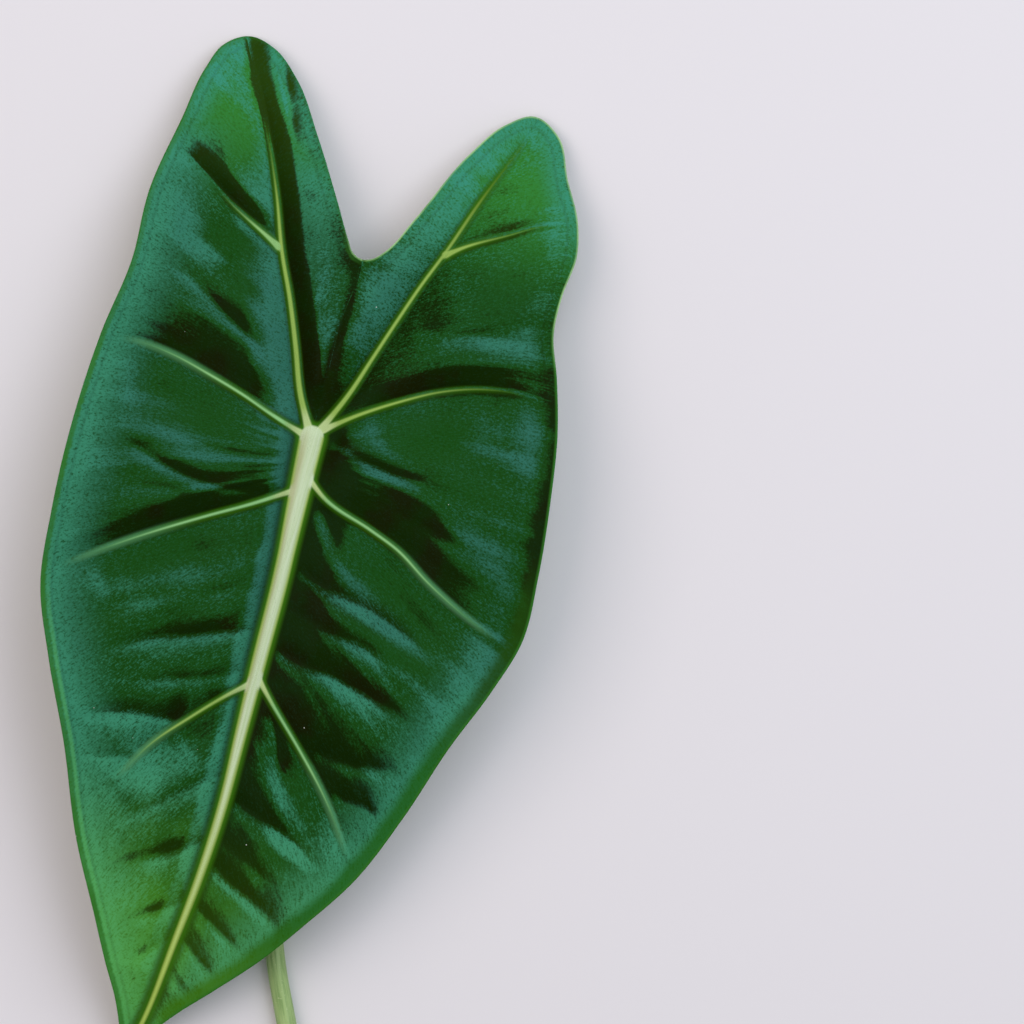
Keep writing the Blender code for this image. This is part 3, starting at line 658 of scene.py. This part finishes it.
class Spots:
    """What is measured at spots of the plan: how far they are from margin and ribs, and their heights."""

    def __init__(self, places, rows, plan):
        self.places = places
        self.side, self.along = places.T
        self.rows = rows  # how far along the margin the row of faces is that each spot is in
        self.margin = nearest_on(plan.margin[::3], places)[0]
        self.panel = np.ones(len(places))
        self.crown = np.zeros(len(places))
        self.keel = np.zeros(len(places))
        self.midrib = self.take_rib(MIDRIB, 0)[0]
        found = [(*self.take_rib(rib, ROOT_FLARE), rib.cool) for rib in THIN_RIBS]
        nearest = np.argmin([edge for edge, *_ in found], axis=0)
        self.rib, self.rib_shown, self.rib_along, self.rib_cool = (
            np.choose(nearest, choices) for choices in zip(*found)
        )
        middle_x, middle_y = np.array(MIDRIB.line[::-1]).T
        self.across = self.side - np.interp(self.along, middle_y, middle_x)
        from_junction = np.linalg.norm(places - JUNCTION, axis=1)
        boss = (1 - (from_junction / BOSS_REACH) ** 2).clip(0) ** 2
        self.keel = np.maximum(self.keel, BOSS_DEPTH * boss)
        self.fold = self.measure_folds()
        self.dull = self.leaning(DULL_SPOTS)

    def take_rib(self, rib, flare):
        """Adds one rib's crown, keel and valley.

        It tells how far the spots are from the edge of the rib's pale line, how pale that line is there, and
        how far along the rib they are, as a share.
        """
        curve = smooth_curve(rib.line, CURVE_STEP)
        away, along, left = nearest_on(curve, self.places)
        from_root = along * travelled(curve)[-1]
        root = flare * np.exp(-from_root / ROOT_REACH)
        half_width = between(rib.half_width, along)
        ridge = (1 - (away / (half_width + root)) ** 2).clip(0)
        crown = between(rib.crown, along)
        if rib is not MIDRIB:
            crown *= ramp(from_root, CROWN_GROWTH) ** GROWTH_POWER
        self.crown = np.hypot(self.crown, crown * ridge**CROWN_POWER)
        self.keel = np.maximum(self.keel, between(rib.keel, along) * ridge**KEEL_POWER)
        outside = (away - half_width).clip(0)
        upper = (1 - ramp(outside, rib.walls[1])) ** STEEPNESS
        lower = 1 - ramp(outside - rib.ledge, rib.walls[0])
        lower = eased(lower) if rib.ledge else lower**STEEPNESS
        uneven = ramp(along, rib.even) * ramp(1 - along, VALLEY_END)
        deep = upper + (np.where(lower_side(rib.line, left), lower, upper) - upper) * uneven
        self.panel *= 1 - between(rib.valley, along) * deep
        pale = between(rib.pale, along) + root
        return away - pale, ramp(pale, FULL_PALE), along

    def measure_folds(self):
        """How deep the creases are."""
        depth = np.zeros(len(self.places))
        for deepest, upper_wall, line in FOLD_LINES:
            away, along, left = nearest_on(smooth_curve(line, CURVE_STEP), self.places)
            lower_wall = LOWER_WALL[0] + LOWER_WALL[1] * upper_wall
            reach = np.where(lower_side(line, left), lower_wall, upper_wall)
            reach = reach * between((1, OUTER_WALLS), along)
            fade = ramp(along, FOLD_ENDS[0]) * ramp(1 - along, FOLD_ENDS[1])
            depth += deepest * eased(fade) * np.exp((FOLD_BEND - np.hypot(away, FOLD_BEND)) / reach)
        from_ribs = ramp(self.rib, FOLD_CLEAR[0]) * ramp(self.midrib, FOLD_CLEAR[1])
        return depth * ramp(self.margin, FOLD_CLEAR[2]) * from_ribs * (2 - from_ribs)

    def leaning(self, swells):
        """How much more the spots are painted as leaning to the light, by the given patches."""
        more = np.zeros(len(self.places))
        for x, y, half_length, half_width, turn, amount in swells:
            gap = (self.places - (x, y)) @ np.array((1, 1j)) * np.exp(-1j * math.radians(turn))
            more += amount * np.exp(-((gap.real / half_length) ** 2) - (gap.imag / half_width) ** 2)
        return more

    def pleats(self):
        """Low uneven swellings of the panels, drawn out along the veins."""
        heights = []
        for row, (x, y) in zip(self.rows, self.places):
            broad = noise.noise(Vector((x / SWELL_SIZE, y / SWELL_SIZE, 0.3)))
            drawn = noise.noise(Vector((row / PLEAT_SIZE[0], x / PLEAT_SIZE[1], 0)))
            fine = noise.noise(Vector((row / FINE_PLEAT_SIZE[0], x / FINE_PLEAT_SIZE[1], 5)))
            heights.append(SWELL_HEIGHT * broad + PLEAT_DEPTH * drawn + FINE_PLEATS * PLEAT_DEPTH * fine)
        return np.array(heights) * self.panel * ramp(self.rib, PLEAT_CLEAR) * ramp(self.midrib, PLEAT_CLEAR)

    def lamina(self):
        """Height of the lamina's underside above the floor, with no ribs."""
        across, along = self.across, self.along
        left_curl, right_curl = (np.interp(along, *zip(*curl)) for curl in (LEFT_CURL, RIGHT_CURL))
        curl = MARGIN_CURL * (1 - self.margin / MARGIN_BAND).clip(0) ** 2
        curl *= np.where(across < 0, left_curl, right_curl)
        turns = (along + WAVE_SHIFT * np.sign(across)) / WAVE_LENGTH
        wave = WAVE_HEIGHT * np.sin(2 * math.pi * turns) * (1 - self.margin / WAVE_BAND).clip(0) ** 2
        wave *= ramp(np.abs(across), WAVE_BAND) * np.interp(along, *zip(*WAVE_SHARES))
        rise = PANEL_RISE * self.panel + self.pleats() - self.fold - SIDE_DROOP * across**2 + curl + wave
        return read_at(ARCH, along) + rise * ramp(along - TIP_END, 2 * TIP_LENGTH)


def leaf_place():
    """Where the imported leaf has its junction: its blade's box has the same two sides as the plan's margin."""
    low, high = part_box("leaf_blade")
    margin = smooth_curve(OUTLINE, LINE_STEP, closed=True)
    return Vector((low.x - margin[:, 0].min() * MM, high.y - margin[:, 1].max() * MM, 0))


def move_to_leaf(bm):
    """Turns a piece's faces outwards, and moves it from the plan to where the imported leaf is."""
    bmesh.ops.recalc_face_normals(bm, faces=bm.faces)
    bmesh.ops.transform(bm, matrix=Matrix.Translation(leaf_place()) @ Matrix.Scale(MM, 4), verts=bm.verts)


def keep(bm, mesh):
    """Writes what was modelled into a mesh."""
    bm.to_mesh(mesh)
    bm.free()
    return mesh


def add_piece(name, mesh, material, node):
    """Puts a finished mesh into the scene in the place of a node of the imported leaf."""
    mesh.shade_smooth()
    mesh.materials.append(material)
    piece = bpy.data.objects.new(name, mesh)
    bpy.context.scene.collection.objects.link(piece)
    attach(piece, "root")
    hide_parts(node)
    return piece


def write_values(mesh, **values):
    """Keeps numbers at a mesh's corners, for its material to read."""
    for name, numbers in values.items():
        attribute = mesh.attributes.get(name) or mesh.attributes.new(name, "FLOAT", "POINT")
        attribute.data.foreach_set("value", np.asarray(numbers, np.float32))


def read_values(mesh, name):
    numbers = np.zeros(len(mesh.vertices), np.float32)
    mesh.attributes[name].data.foreach_get("value", numbers)
    return numbers


class Wire:
    """A number or colour that runs through a material. Python's operators on it add Math nodes."""

    def __init__(self, finish, socket):
        self.finish = finish
        self.socket = socket

    def math(self, operation, *others):
        return self.finish.node("ShaderNodeMath", {"operation": operation}, dict(enumerate((self, *others))))

    def __add__(self, other):
        return self.math("ADD", other)

    def __sub__(self, other):
        return self.math("SUBTRACT", other)

    def __rsub__(self, other):
        return self * -1 + other

    def __mul__(self, other):
        return self.math("MULTIPLY", other)

    def __truediv__(self, other):
        return self.math("DIVIDE", other)

    def __pow__(self, other):
        return self.math("POWER", other)

    __radd__ = __add__
    __rmul__ = __mul__

    def at_least(self, other):
        return self.math("MAXIMUM", other)

    def rise(self, low, high):
        """0 below the one value and 1 above the other, or the other way round, smooth between."""
        values = {"Value": self, "From Min": low, "From Max": high}
        return self.finish.node("ShaderNodeMapRange", {"interpolation_type": "SMOOTHSTEP"}, values)

    def blend(self, at_zero, at_one):
        """A colour between two, this being the share of the second."""
        values = {0: self, 6: at_zero, 7: at_one}
        return self.finish.node("ShaderNodeMix", {"data_type": "RGBA"}, values, output=2)


def hypot(x, y):
    """How far a spot is from where both wires are 0."""
    return (x * x + y * y) ** 0.5


def paint(under, *coats):
    """A colour under coats of other colours, each given with the share that it covers by."""
    for share, coat in coats:
        under = share.blend(under, coat)
    return under


class Finish:
    """A material in the making: node() adds a node of any kind and gives one of its outputs."""

    def __init__(self, name):
        self.material = bpy.data.materials.new(name)
        self.material.use_nodes = True
        self.tree = self.material.node_tree
        self.shader = self.tree.nodes["Principled BSDF"]

    def node(self, kind, settings=None, values=None, output=0):
        added = self.tree.nodes.new(kind)
        for name, setting in (settings or {}).items():
            setattr(added, name, setting)
        self.feed(added, values or {})
        return Wire(self, added.outputs[output])

    def feed(self, added, values):
        for name, value in values.items():
            socket = added.inputs[name]
            if isinstance(value, Wire):
                self.tree.links.new(value.socket, socket)
            elif socket.type == "RGBA":
                socket.default_value = (*value[:3], 1)
            else:
                socket.default_value = value

    def attribute(self, name, output="Fac"):
        return self.node("ShaderNodeAttribute", {"attribute_name": name}, output=output)

    def place(self):
        """The spot on the piece, in millimetres."""
        spot = self.node("ShaderNodeTexCoord", output="Object")
        return self.node("ShaderNodeVectorMath", {"operation": "SCALE"}, {0: spot, "Scale": 1 / MM})

    def drawn(self, x, y, z, detail, roughness):
        """Uneven values, drawn out as far as the given wires are slow to change."""
        where = self.node("ShaderNodeCombineXYZ", values={0: x, 1: y, 2: z})
        return self.noise(where, 1, detail, roughness)

    def noise(self, where, size, detail=3, roughness=0.5):
        """Uneven values about 0.5, with patches of the given size."""
        values = {"Vector": where, "Scale": 1 / size, "Detail": detail, "Roughness": roughness}
        return self.node("ShaderNodeTexNoise", values=values)

    def cells(self, where, size, feature="F1"):
        """How far a spot is from the middle of its cell, or from the cell's edge."""
        values = {"Vector": where, "Scale": 1 / size}
        return self.node("ShaderNodeTexVoronoi", {"feature": feature}, values, output="Distance")

    def bump(self, height, depth, normal=None):
        """Relief in the surface; the depth is in millimetres."""
        values = {"Height": height, "Distance": depth * MM, "Strength": 1.0}
        if normal:
            values["Normal"] = normal
        return self.node("ShaderNodeBump", values=values)

    def done(self, **values):
        """Sets the shader's own sockets, named with _ for a space."""
        self.feed(self.shader, {name.replace("_", " "): value for name, value in values.items()})
        return self.material


def blade_finish(settings):
    """Velvety green with pale ribs above, with painted shade and painted sheen by how it leans to the window
    light, and dull pale green with cream ribs below.
    """
    finish = Finish("alocasia_blade")
    place = finish.place()
    upper, row, tilt = (finish.attribute(name) for name in ("upper", "row", "tilt"))
    margin, midrib, rib, rib_shown, rib_along, rib_cool, panel, side, across, along, fold, dull = (
        finish.attribute(name) for name in MEASURED
    )

    patches = finish.noise(place, 14, 3, 0.55)
    fibres = finish.drawn(row * 1.9, side * 0.8, 7, 4, 0.65)
    grain = (finish.noise(place, 0.55, 4, 0.7) + fibres - 1) * 0.7 + 0.5
    hatch = finish.drawn(row * 2.2, side / 6, 4, 2, 0.5) - 0.5
    hatch = hatch * margin.rise(11, 3) * side.rise(25, 40) * along.rise(10, 25) * along.rise(80, 70)
    veins = finish.drawn(row * 0.9, side / 14, upper * 9, 3, 0.6)
    streaks = finish.drawn(side * 1.4, along * 0.04, 3, 3, 0.6)

    # Painted light on the velvet: painted shade where it leans from the light, beside the ribs and in the
    # creases, bare green where flat, and a blue-green painted sheen where it leans towards the light
    low_left = side.rise(0, -28) * along.rise(-50, -115)
    low_right = across.rise(22, 7) * across.rise(0, 3) * along.rise(0, -14) * along.rise(-130, -90)
    by_sinus = hypot(side - 4, along - 42).rise(34, 12)
    lean = tilt + (patches - 0.5) * 0.16 + (veins - 0.5) * 0.16 + (grain - 0.5) * (0.3 + by_sinus * 0.4)
    lean = lean + low_left * 0.15 - low_right * 0.14 + hatch * 0.3
    by_tip = 1 - across.rise(1, 8) * 0.45
    bare = along.rise(45, 80).blend(settings.panel, settings.lobes)
    bare = ((along - (patches - 0.5) * 40).rise(-90, -165) * by_tip * 0.85).blend(bare, settings.tip)
    dark = patches.rise(0.45, 0.65).blend(settings.valley, settings.brown)
    dark = along.rise(-95, -150).at_least(along.rise(40, 90) * 0.6).blend(dark, settings.olive)
    # Painted sheen in bands inside the left and lower margins and in the lobes
    near_margin = margin.rise(18, 1) * side.rise(0, -20).at_least(along.rise(-38, -60)) * along.rise(75, 60)
    near_margin = near_margin.at_least(margin.rise(9, 1) * along.rise(58, 76) * 0.8)
    glow = lean + near_margin * 0.1 + dull
    painted_sheen = glow.rise(0, 0.29).at_least(near_margin * lean.rise(-0.3, 0)) * grain.rise(0.2, 0.55)
    from_middle = (along + 5).math("ABSOLUTE") + (patches - 0.5) * 60
    sheen = paint(
        from_middle.rise(15, 85).at_least(near_margin).blend(settings.blue_painted_sheen, settings.painted_sheen),
        (along.rise(50, 82) * 0.9, settings.lobe_painted_sheen),
        (along.rise(-85, -155) * by_tip, settings.tip_painted_sheen),
    )
    # Painted glints: bright specks of the painted sheen, more where the velvet leans to the light
    bright = (0.04 + lean.rise(-0.12, 0.08) * 0.36) * (0.3 + dull.rise(-0.2, -0.02) * 0.7)
    green = paint(
        lean.rise(-0.03, -0.19).blend(bare, dark),
        (panel.rise(0.4, 0.1) * 0.4, dark),
        (fold.rise(0.5, 1.6) * 0.7, dark),
        (painted_sheen * 0.92, sheen),
        (grain.rise(0.5, 0.36) * (0.28 - glow.rise(0.05, 0.3) * 0.1), dark),
        (grain.rise(0.5, 0.64) * bright, sheen),
    )

    # The margin has a green rim with a dark line inside it, a band along the right margin that is painted shade
    # where its curl leans from the light and paler towards the tip where light through it is painted, a pale
    # line of painted sheen on the left, and a painted highlight where the light catches the right lobe's rim
    right_band = (margin + (patches - 0.5) * 3).rise(5.6, 2.2) * side.rise(0, 6) * along.rise(-12, -34)
    band = along.rise(-50, -80).blend(settings.band_dark, settings.band)
    band = along.rise(-118, -150).blend(band, settings.band_tip)
    wavy = margin + (veins - 0.5) * 1.6
    inside_rim = wavy.rise(2.3, 2.9) * wavy.rise(3.6, 3) * right_band.rise(0.5, 0)
    pale_line = margin.rise(1.2, 1.7) * margin.rise(2.9, 2) * side.rise(0, -8) * along.rise(-40, -80)
    inner_side = along.rise(45, 55) * side.rise(-48, -41)
    rim = (margin + (veins - 0.5) * 1.2).rise(1.8, 1) * side.rise(4, -4) * (1 - inner_side)
    rim = rim * (0.9 - along.rise(5, 35) * 0.35 - patches.rise(0.6, 0.4) * 0.2)
    rim = rim.at_least(margin.rise(1, 0.2) * (0.8 - inner_side * 0.5))
    caught = margin.rise(0.6, 0.1) * side.rise(-8, 2) * along.rise(30, 46)
    green = paint(
        green,
        (right_band * 0.85, band),
        (inside_rim * 0.2, dark),
        (pale_line * 0.45, settings.tip_painted_sheen),
        (rim, settings.edge),
        (caught * (0.35 + patches.rise(0.35, 0.6) * 0.5), settings.lit_edge),
    )

    # Beside each rib the lamina is darker with painted shade, and its edge is bright green; the side ribs'
    # outer halves carry a sea green painted sheen
    ridge = rib.rise(1.5, 0) * rib_along.rise(0.35, 0.75) * rib_along.rise(1, 0.86) * along.rise(22, 10)
    green = paint(
        green,
        (midrib.rise(3.2, 1) * 0.75, dark),
        (rib.rise(1.8, 0.6) * rib_shown * 0.5, dark),
        (rib.rise(1.2, 0) * rib_shown * 0.7, settings.halo),
        (ridge * 0.5, settings.ridge),
        (midrib.rise(1.9, 0.1) * 0.9, settings.halo),
    )

    cream = paint(
        along.rise(-70, -165).blend(settings.midrib, settings.midrib_end),
        (streaks.rise(0.35, 0.75) * 0.3, settings.rib),
        # Painted shade: the midrib's left side, which leans from the light, is a duller cream
        (across.rise(-0.1, -1.7) * along.rise(4, -8) * 0.5, settings.tan),
        (midrib.rise(-1.1, 0) * rib.rise(0, 1.2) * 0.9, settings.rim),
    )
    off_midrib = midrib.rise(1.5, 6)
    olive_end = along.rise(30, 50).at_least(side.rise(15, 30) * along.rise(8, 18))
    line = paint(
        rib_along.rise(0, 0.25).at_least(off_midrib).blend(settings.rib_root, settings.rib),
        (rib_cool * off_midrib, settings.cool_rib),
        (rib_along.rise(0.5, 0.95), olive_end.blend(settings.rib_end, settings.lobe_end)),
        (rib.rise(-0.4, 0.1) * 0.45, settings.halo),
    )
    top = paint(
        green,
        (rib.rise(0.25, -0.35) * rib_shown, line),
        (midrib.rise(0.35, -0.35), cream),
        (finish.cells(place, 9).rise(0.022, 0.012) * 0.7, settings.dust),
    )

    net = finish.cells(place, 2.2, "DISTANCE_TO_EDGE")
    boss = hypot(side, along).rise(BOSS_REACH, BOSS_REACH - 3)
    below = paint(
        (net.rise(0.12, 0) * 0.35).blend(settings.under, settings.under_rib),
        (patches.rise(0.4, 0.7) * 0.15, settings.panel),
        (rib.rise(0.7, -0.1).at_least(midrib.rise(0.8, -0.2)).at_least(boss), settings.under_rib),
    )
    skin = upper.rise(0.4, 0.6).blend(below, top)

    roughness = settings.roughness + (grain - 0.5) * 0.2 + (1 - upper) * 0.2 + (patches - 0.5) * 0.1
    relief = finish.bump(grain, 0.04)
    relief = finish.bump(veins, 0.06, relief)
    relief = finish.bump(net.rise(0, 0.2) * (1 - upper), 0.08, relief)
    return finish.done(
        Base_Color=skin, Roughness=roughness, Normal=relief, Specular_IOR_Level=0.045, IOR=1.45,
        Specular_Tint=(0.4, 0.9, 0.8, 1),
    )


class LEAF_OT_make_blade(bpy.types.Operator):
    """Makes the blade: its panels in plan, the two faces' heights, and its velvety finish"""

    bl_idname = "leaf.make_blade"
    bl_label = "Make Blade"

    def execute(self, context):
        settings = context.scene.leaf_blade_settings
        plan = Plan()
        bm = bmesh.new()
        for name in BLADE_LAYERS:
            bm.verts.layers.float.new(name)
        for half in (LEFT_HALF, RIGHT_HALF):
            fill_half(bm, plan, half)
        bmesh.ops.remove_doubles(bm, verts=bm.verts, dist=WELD)
        bmesh.ops.dissolve_degenerate(bm, dist=WELD, edges=bm.edges)
        row_layer, spot_layer, upper_layer = (bm.verts.layers.float[name] for name in BLADE_LAYERS)
        rows = [vert[row_layer] for vert in bm.verts]
        spots = Spots(np.array([vert.co[:2] for vert in bm.verts]), rows, plan)
        for n, vert in enumerate(bm.verts):
            vert[spot_layer] = n
        for item in bmesh.ops.extrude_face_region(bm, geom=bm.faces[:])["geom"]:
            if isinstance(item, bmesh.types.BMVert):
                item[upper_layer] = 1
        mesh = keep(bm, bpy.data.meshes.new("blade"))
        self.raise_faces(mesh, spots, settings)
        bm = bmesh.new()
        bm.from_mesh(mesh)
        move_to_leaf(bm)
        add_piece("blade", keep(bm, mesh), blade_finish(settings), "leaf_blade")
        return {"FINISHED"}

    def raise_faces(self, mesh, spots, settings):
        """Gives every corner its height, and keeps for the material what was measured there."""
        here = read_values(mesh, "spot").astype(int)
        upper = read_values(mesh, "upper")
        from_tip = ramp(spots.along - TIP_END, TIP_LENGTH)
        thick, thin = settings.thickness / MM, settings.edge_thickness / MM
        to_edge = thin + (thick - thin) * (1 - (1 - spots.margin / EDGE_REACH).clip(0) ** 2)
        thickness = TIP_THICKNESS + (to_edge - TIP_THICKNESS) * from_tip
        top = (spots.lamina() + thick).clip(thick) + spots.crown
        bottom = (top - spots.crown - thickness - spots.keel).clip(0)
        height = np.where(upper > 0.5, top[here], bottom[here])
        places = np.column_stack([spots.places[here], height])
        mesh.vertices.foreach_set("co", places.ravel())
        mesh.update()
        normals = np.zeros(len(here) * 3, np.float32)
        mesh.vertices.foreach_get("normal", normals)
        normals = normals.reshape(-1, 3)
        normals *= np.sign(normals[:, 2:])
        # How far each corner leans to the window light, with the arch's slope and the painted patches added:
        # the material paints its shade and sheen from it
        arch_slope = (read_at(ARCH, spots.along + 1) - read_at(ARCH, spots.along - 1)) / 2
        tilt = normals[:, :2] @ TOWARDS_LIGHT + (arch_slope * TOWARDS_LIGHT[1] + spots.leaning(PAINTED_LEANS))[here]
        write_values(mesh, tilt=tilt, **{name: getattr(spots, name)[here] for name in MEASURED})


class LEAF_OT_make_stage(bpy.types.Operator):
    """Makes the pale floor, the window light, the room's light and the camera"""

    bl_idname = "leaf.make_stage"
    bl_label = "Make Stage"

    def execute(self, context):
        settings = context.scene.leaf_stage_settings
        scene = context.scene
        scene.view_settings.view_transform = "Standard"
        bm = bmesh.new()
        bmesh.ops.create_grid(bm, x_segments=2, y_segments=2, size=FLOOR_SIZE)
        mesh = keep(bm, bpy.data.meshes.new("floor"))
        floor = bpy.data.objects.new("floor", mesh)
        scene.collection.objects.link(floor)
        finish = Finish("pale_floor")
        paper = finish.noise(finish.place(), FLOOR_PATCHES, 2)
        shade = paper.blend(settings.floor, [channel * FLOOR_SHADE for channel in settings.floor])
        mesh.materials.append(finish.done(Base_Color=shade, Roughness=0.9))

        world = bpy.data.worlds.new("room")
        scene.world = world
        world.use_nodes = True
        background = world.node_tree.nodes["Background"]
        background.inputs["Color"].default_value = (*settings.sky, 1)
        background.inputs["Strength"].default_value = settings.sky_strength

        turn = math.radians(PHOTO_TURN)
        right = Vector((math.cos(turn), math.sin(turn), 0))
        up = Vector((-math.sin(turn), math.cos(turn), 0))
        middle = leaf_place() + Vector(PHOTO_MIDDLE) * MM
        for name, ((to_right, upwards), elevation, distance, size) in LIGHTS.items():
            light = bpy.data.lights.new(name, "AREA")
            light.shape = "RECTANGLE"
            light.size, light.size_y = size
            light.color = getattr(settings, name)
            light.energy = getattr(settings, name + "_power")
            lamp = bpy.data.objects.new(name, light)
            scene.collection.objects.link(lamp)
            angle = math.radians(elevation)
            heading = (right * to_right + up * upwards).normalized()
            back = heading * math.cos(angle) + Vector((0, 0, math.sin(angle)))
            lamp.location = middle + back * distance
            lamp.rotation_euler = (-back).to_track_quat("-Z", "Y").to_euler()

        lens = bpy.data.cameras.new("camera")
        lens.sensor_width = 36
        lens.lens = lens.sensor_width * settings.camera_height / (PHOTO_WIDTH * MM)
        lens.clip_start, lens.clip_end = 0.1, 20
        camera = bpy.data.objects.new("camera", lens)
        scene.collection.objects.link(camera)
        camera.location = middle + Vector((0, 0, settings.camera_height))
        camera.rotation_euler = (0, 0, turn)
        scene.camera = camera
        return {"FINISHED"}


def stalk_finish(settings):
    """Smooth pale green skin with long streaks, painted shade along its lowest side where it lies on the floor,
    and the pale flesh of the cut end with its strands.
    """
    finish = Finish("alocasia_stalk")
    grain = finish.attribute("grain", "Vector")
    height, cut, reach = (finish.attribute(name) for name in ("height", "cut", "reach"))
    drawn = finish.node("ShaderNodeVectorMath", {"operation": "MULTIPLY"}, {0: grain, 1: (1, 1, 0.06)})
    streaks = finish.noise(drawn, 0.7, 4, 0.6)
    broad = finish.noise(drawn, 3, 2, 0.5)
    flecks = finish.noise(finish.place(), 0.6, 3, 0.6)

    strands = finish.cells(grain, 0.75)
    flesh = paint(
        settings.pith,
        (strands.rise(0.34, 0.16) * reach.rise(0.95, 0.8) * 0.6, settings.strand),
        (reach.rise(0.78, 0.95), settings.streak),
    )
    skin = paint(
        settings.skin,
        (streaks.rise(0.4, 0.66) * 0.8, settings.streak),
        (broad.rise(0.5, 0.75) * 0.45, settings.shade),
        (flecks.rise(0.62, 0.74) * 0.45, settings.pith),
        # Painted shade: darker along the lowest side, where the stalk lies on the floor
        (height.rise(1.6, 0.2) * 0.35, settings.streak),
        (cut.rise(0.4, 0.6), flesh),
    )
    relief = finish.bump(streaks, 0.08)
    relief = finish.bump(strands * cut, 0.15, relief)
    roughness = 0.4 + (streaks - 0.5) * 0.25 + cut * 0.2
    return finish.done(Base_Color=skin, Roughness=roughness, Normal=relief, Specular_IOR_Level=0.35)


class LEAF_OT_make_stalk(bpy.types.Operator):
    """Makes the stalk along its route, flared into the blade's underside, with its cut end"""

    bl_idname = "leaf.make_stalk"
    bl_label = "Make Stalk"

    def execute(self, context):
        settings = context.scene.leaf_stalk_settings
        sides, rings = settings.sides, self.rings()
        bm = bmesh.new()
        layers = [bm.verts.layers.float_vector.new("grain")]
        layers += [bm.verts.layers.float.new(name) for name in ("height", "cut", "reach")]
        grid = bmesh.ops.create_grid(bm, x_segments=sides, y_segments=len(rings) - 1, size=1)["verts"]
        for n, vert in enumerate(grid):
            k, j = divmod(n, sides + 1)
            centre, ahead, radius, distance, cut, reach = rings[k]
            turn = math.tau * (j % sides) / sides
            cosine, sine = math.cos(turn), math.sin(turn)
            side = ahead.cross(Vector((0, 0, 1))).normalized()
            out = cosine * side + sine * side.cross(ahead)
            ridge = noise.noise(Vector((cosine * RIDGES_ROUND, sine * RIDGES_ROUND, distance / RIDGE_LENGTH)))
            by_cut = min(1, max(0, 1 - (rings[-1][3] - distance) / SLANT_REACH))
            slant = CUT_SLANT * radius * reach * cosine * by_cut
            vert.co = centre + out * radius * reach * (1 + LOW_RIDGES * ridge) + ahead * slant
            vert.co.z = max(vert.co.z, 0)
            values = (Vector((cosine, sine, 0)) * radius * reach, vert.co.z, cut, reach)
            for layer, value in zip(layers, values):
                vert[layer] = value
            vert[layers[0]].z = distance
        bmesh.ops.remove_doubles(bm, verts=bm.verts, dist=STALK_WELD)
        move_to_leaf(bm)
        mesh = keep(bm, bpy.data.meshes.new("stalk"))
        add_piece("stalk", mesh, stalk_finish(settings), "leaf_stalk")
        return {"FINISHED"}

    def rings(self):
        """The stalk's rings from its head to its cut end.

        Each has its centre, the way ahead, the stalk's radius, how far along it is, if it is on the cut face,
        and the share of the radius that it reaches.
        """
        route = smooth_curve(STALK_ROUTE, STALK_STEP)
        along = travelled(route)
        radii = read_at(STALK_RADII, along / along[-1])
        route[:, 2] = route[:, 2].clip(0) + radii
        radii = radii * (1 + STALK_FLARE * np.exp(-along / FLARE_LENGTH))
        ways = [Vector(way).normalized() for way in np.gradient(route, axis=0)]
        first, last = Vector(route[0]), Vector(route[-1])
        rings = [(first + ways[0] * past, ways[0], radii[0], past, 0, share) for share, past in STALK_HEAD]
        for spot, way, radius, distance in zip(route, ways, radii, along):
            rings.append((Vector(spot), way, radius, distance, 0, 1))
        for share, past in STALK_CUT:
            rings.append((last + ways[-1] * past, ways[-1], radii[-1], along[-1] + past, 1, share))
        return rings


class LEAF_PT_panel(bpy.types.Panel):
    bl_idname = "LEAF_PT_panel"
    bl_label = "Alocasia Leaf"
    bl_space_type = "VIEW_3D"
    bl_region_type = "UI"
    bl_category = "Leaf"

    def draw(self, context):
        parts = (
            (LEAF_OT_make_blade, context.scene.leaf_blade_settings),
            (LEAF_OT_make_stalk, context.scene.leaf_stalk_settings),
            (LEAF_OT_make_stage, context.scene.leaf_stage_settings),
        )
        for operator, settings in parts:
            box = self.layout.box()
            for name in settings.__annotations__:
                box.prop(settings, name)
            box.operator(operator.bl_idname)


CLASSES = (
    BladeSettings, StalkSettings, StageSettings,
    LEAF_OT_make_blade, LEAF_OT_make_stalk, LEAF_OT_make_stage, LEAF_PT_panel,
)


def register():
    for cls in CLASSES:
        bpy.utils.register_class(cls)
    bpy.types.Scene.leaf_blade_settings = PointerProperty(type=BladeSettings)
    bpy.types.Scene.leaf_stalk_settings = PointerProperty(type=StalkSettings)
    bpy.types.Scene.leaf_stage_settings = PointerProperty(type=StageSettings)


def unregister():
    del bpy.types.Scene.leaf_blade_settings
    del bpy.types.Scene.leaf_stalk_settings
    del bpy.types.Scene.leaf_stage_settings
    for cls in reversed(CLASSES):
        bpy.utils.unregister_class(cls)


def main():
    register()
    bpy.ops.leaf.make_stage()
    bpy.ops.leaf.make_blade()
    bpy.ops.leaf.make_stalk()


if __name__ == "__main__":
    main()
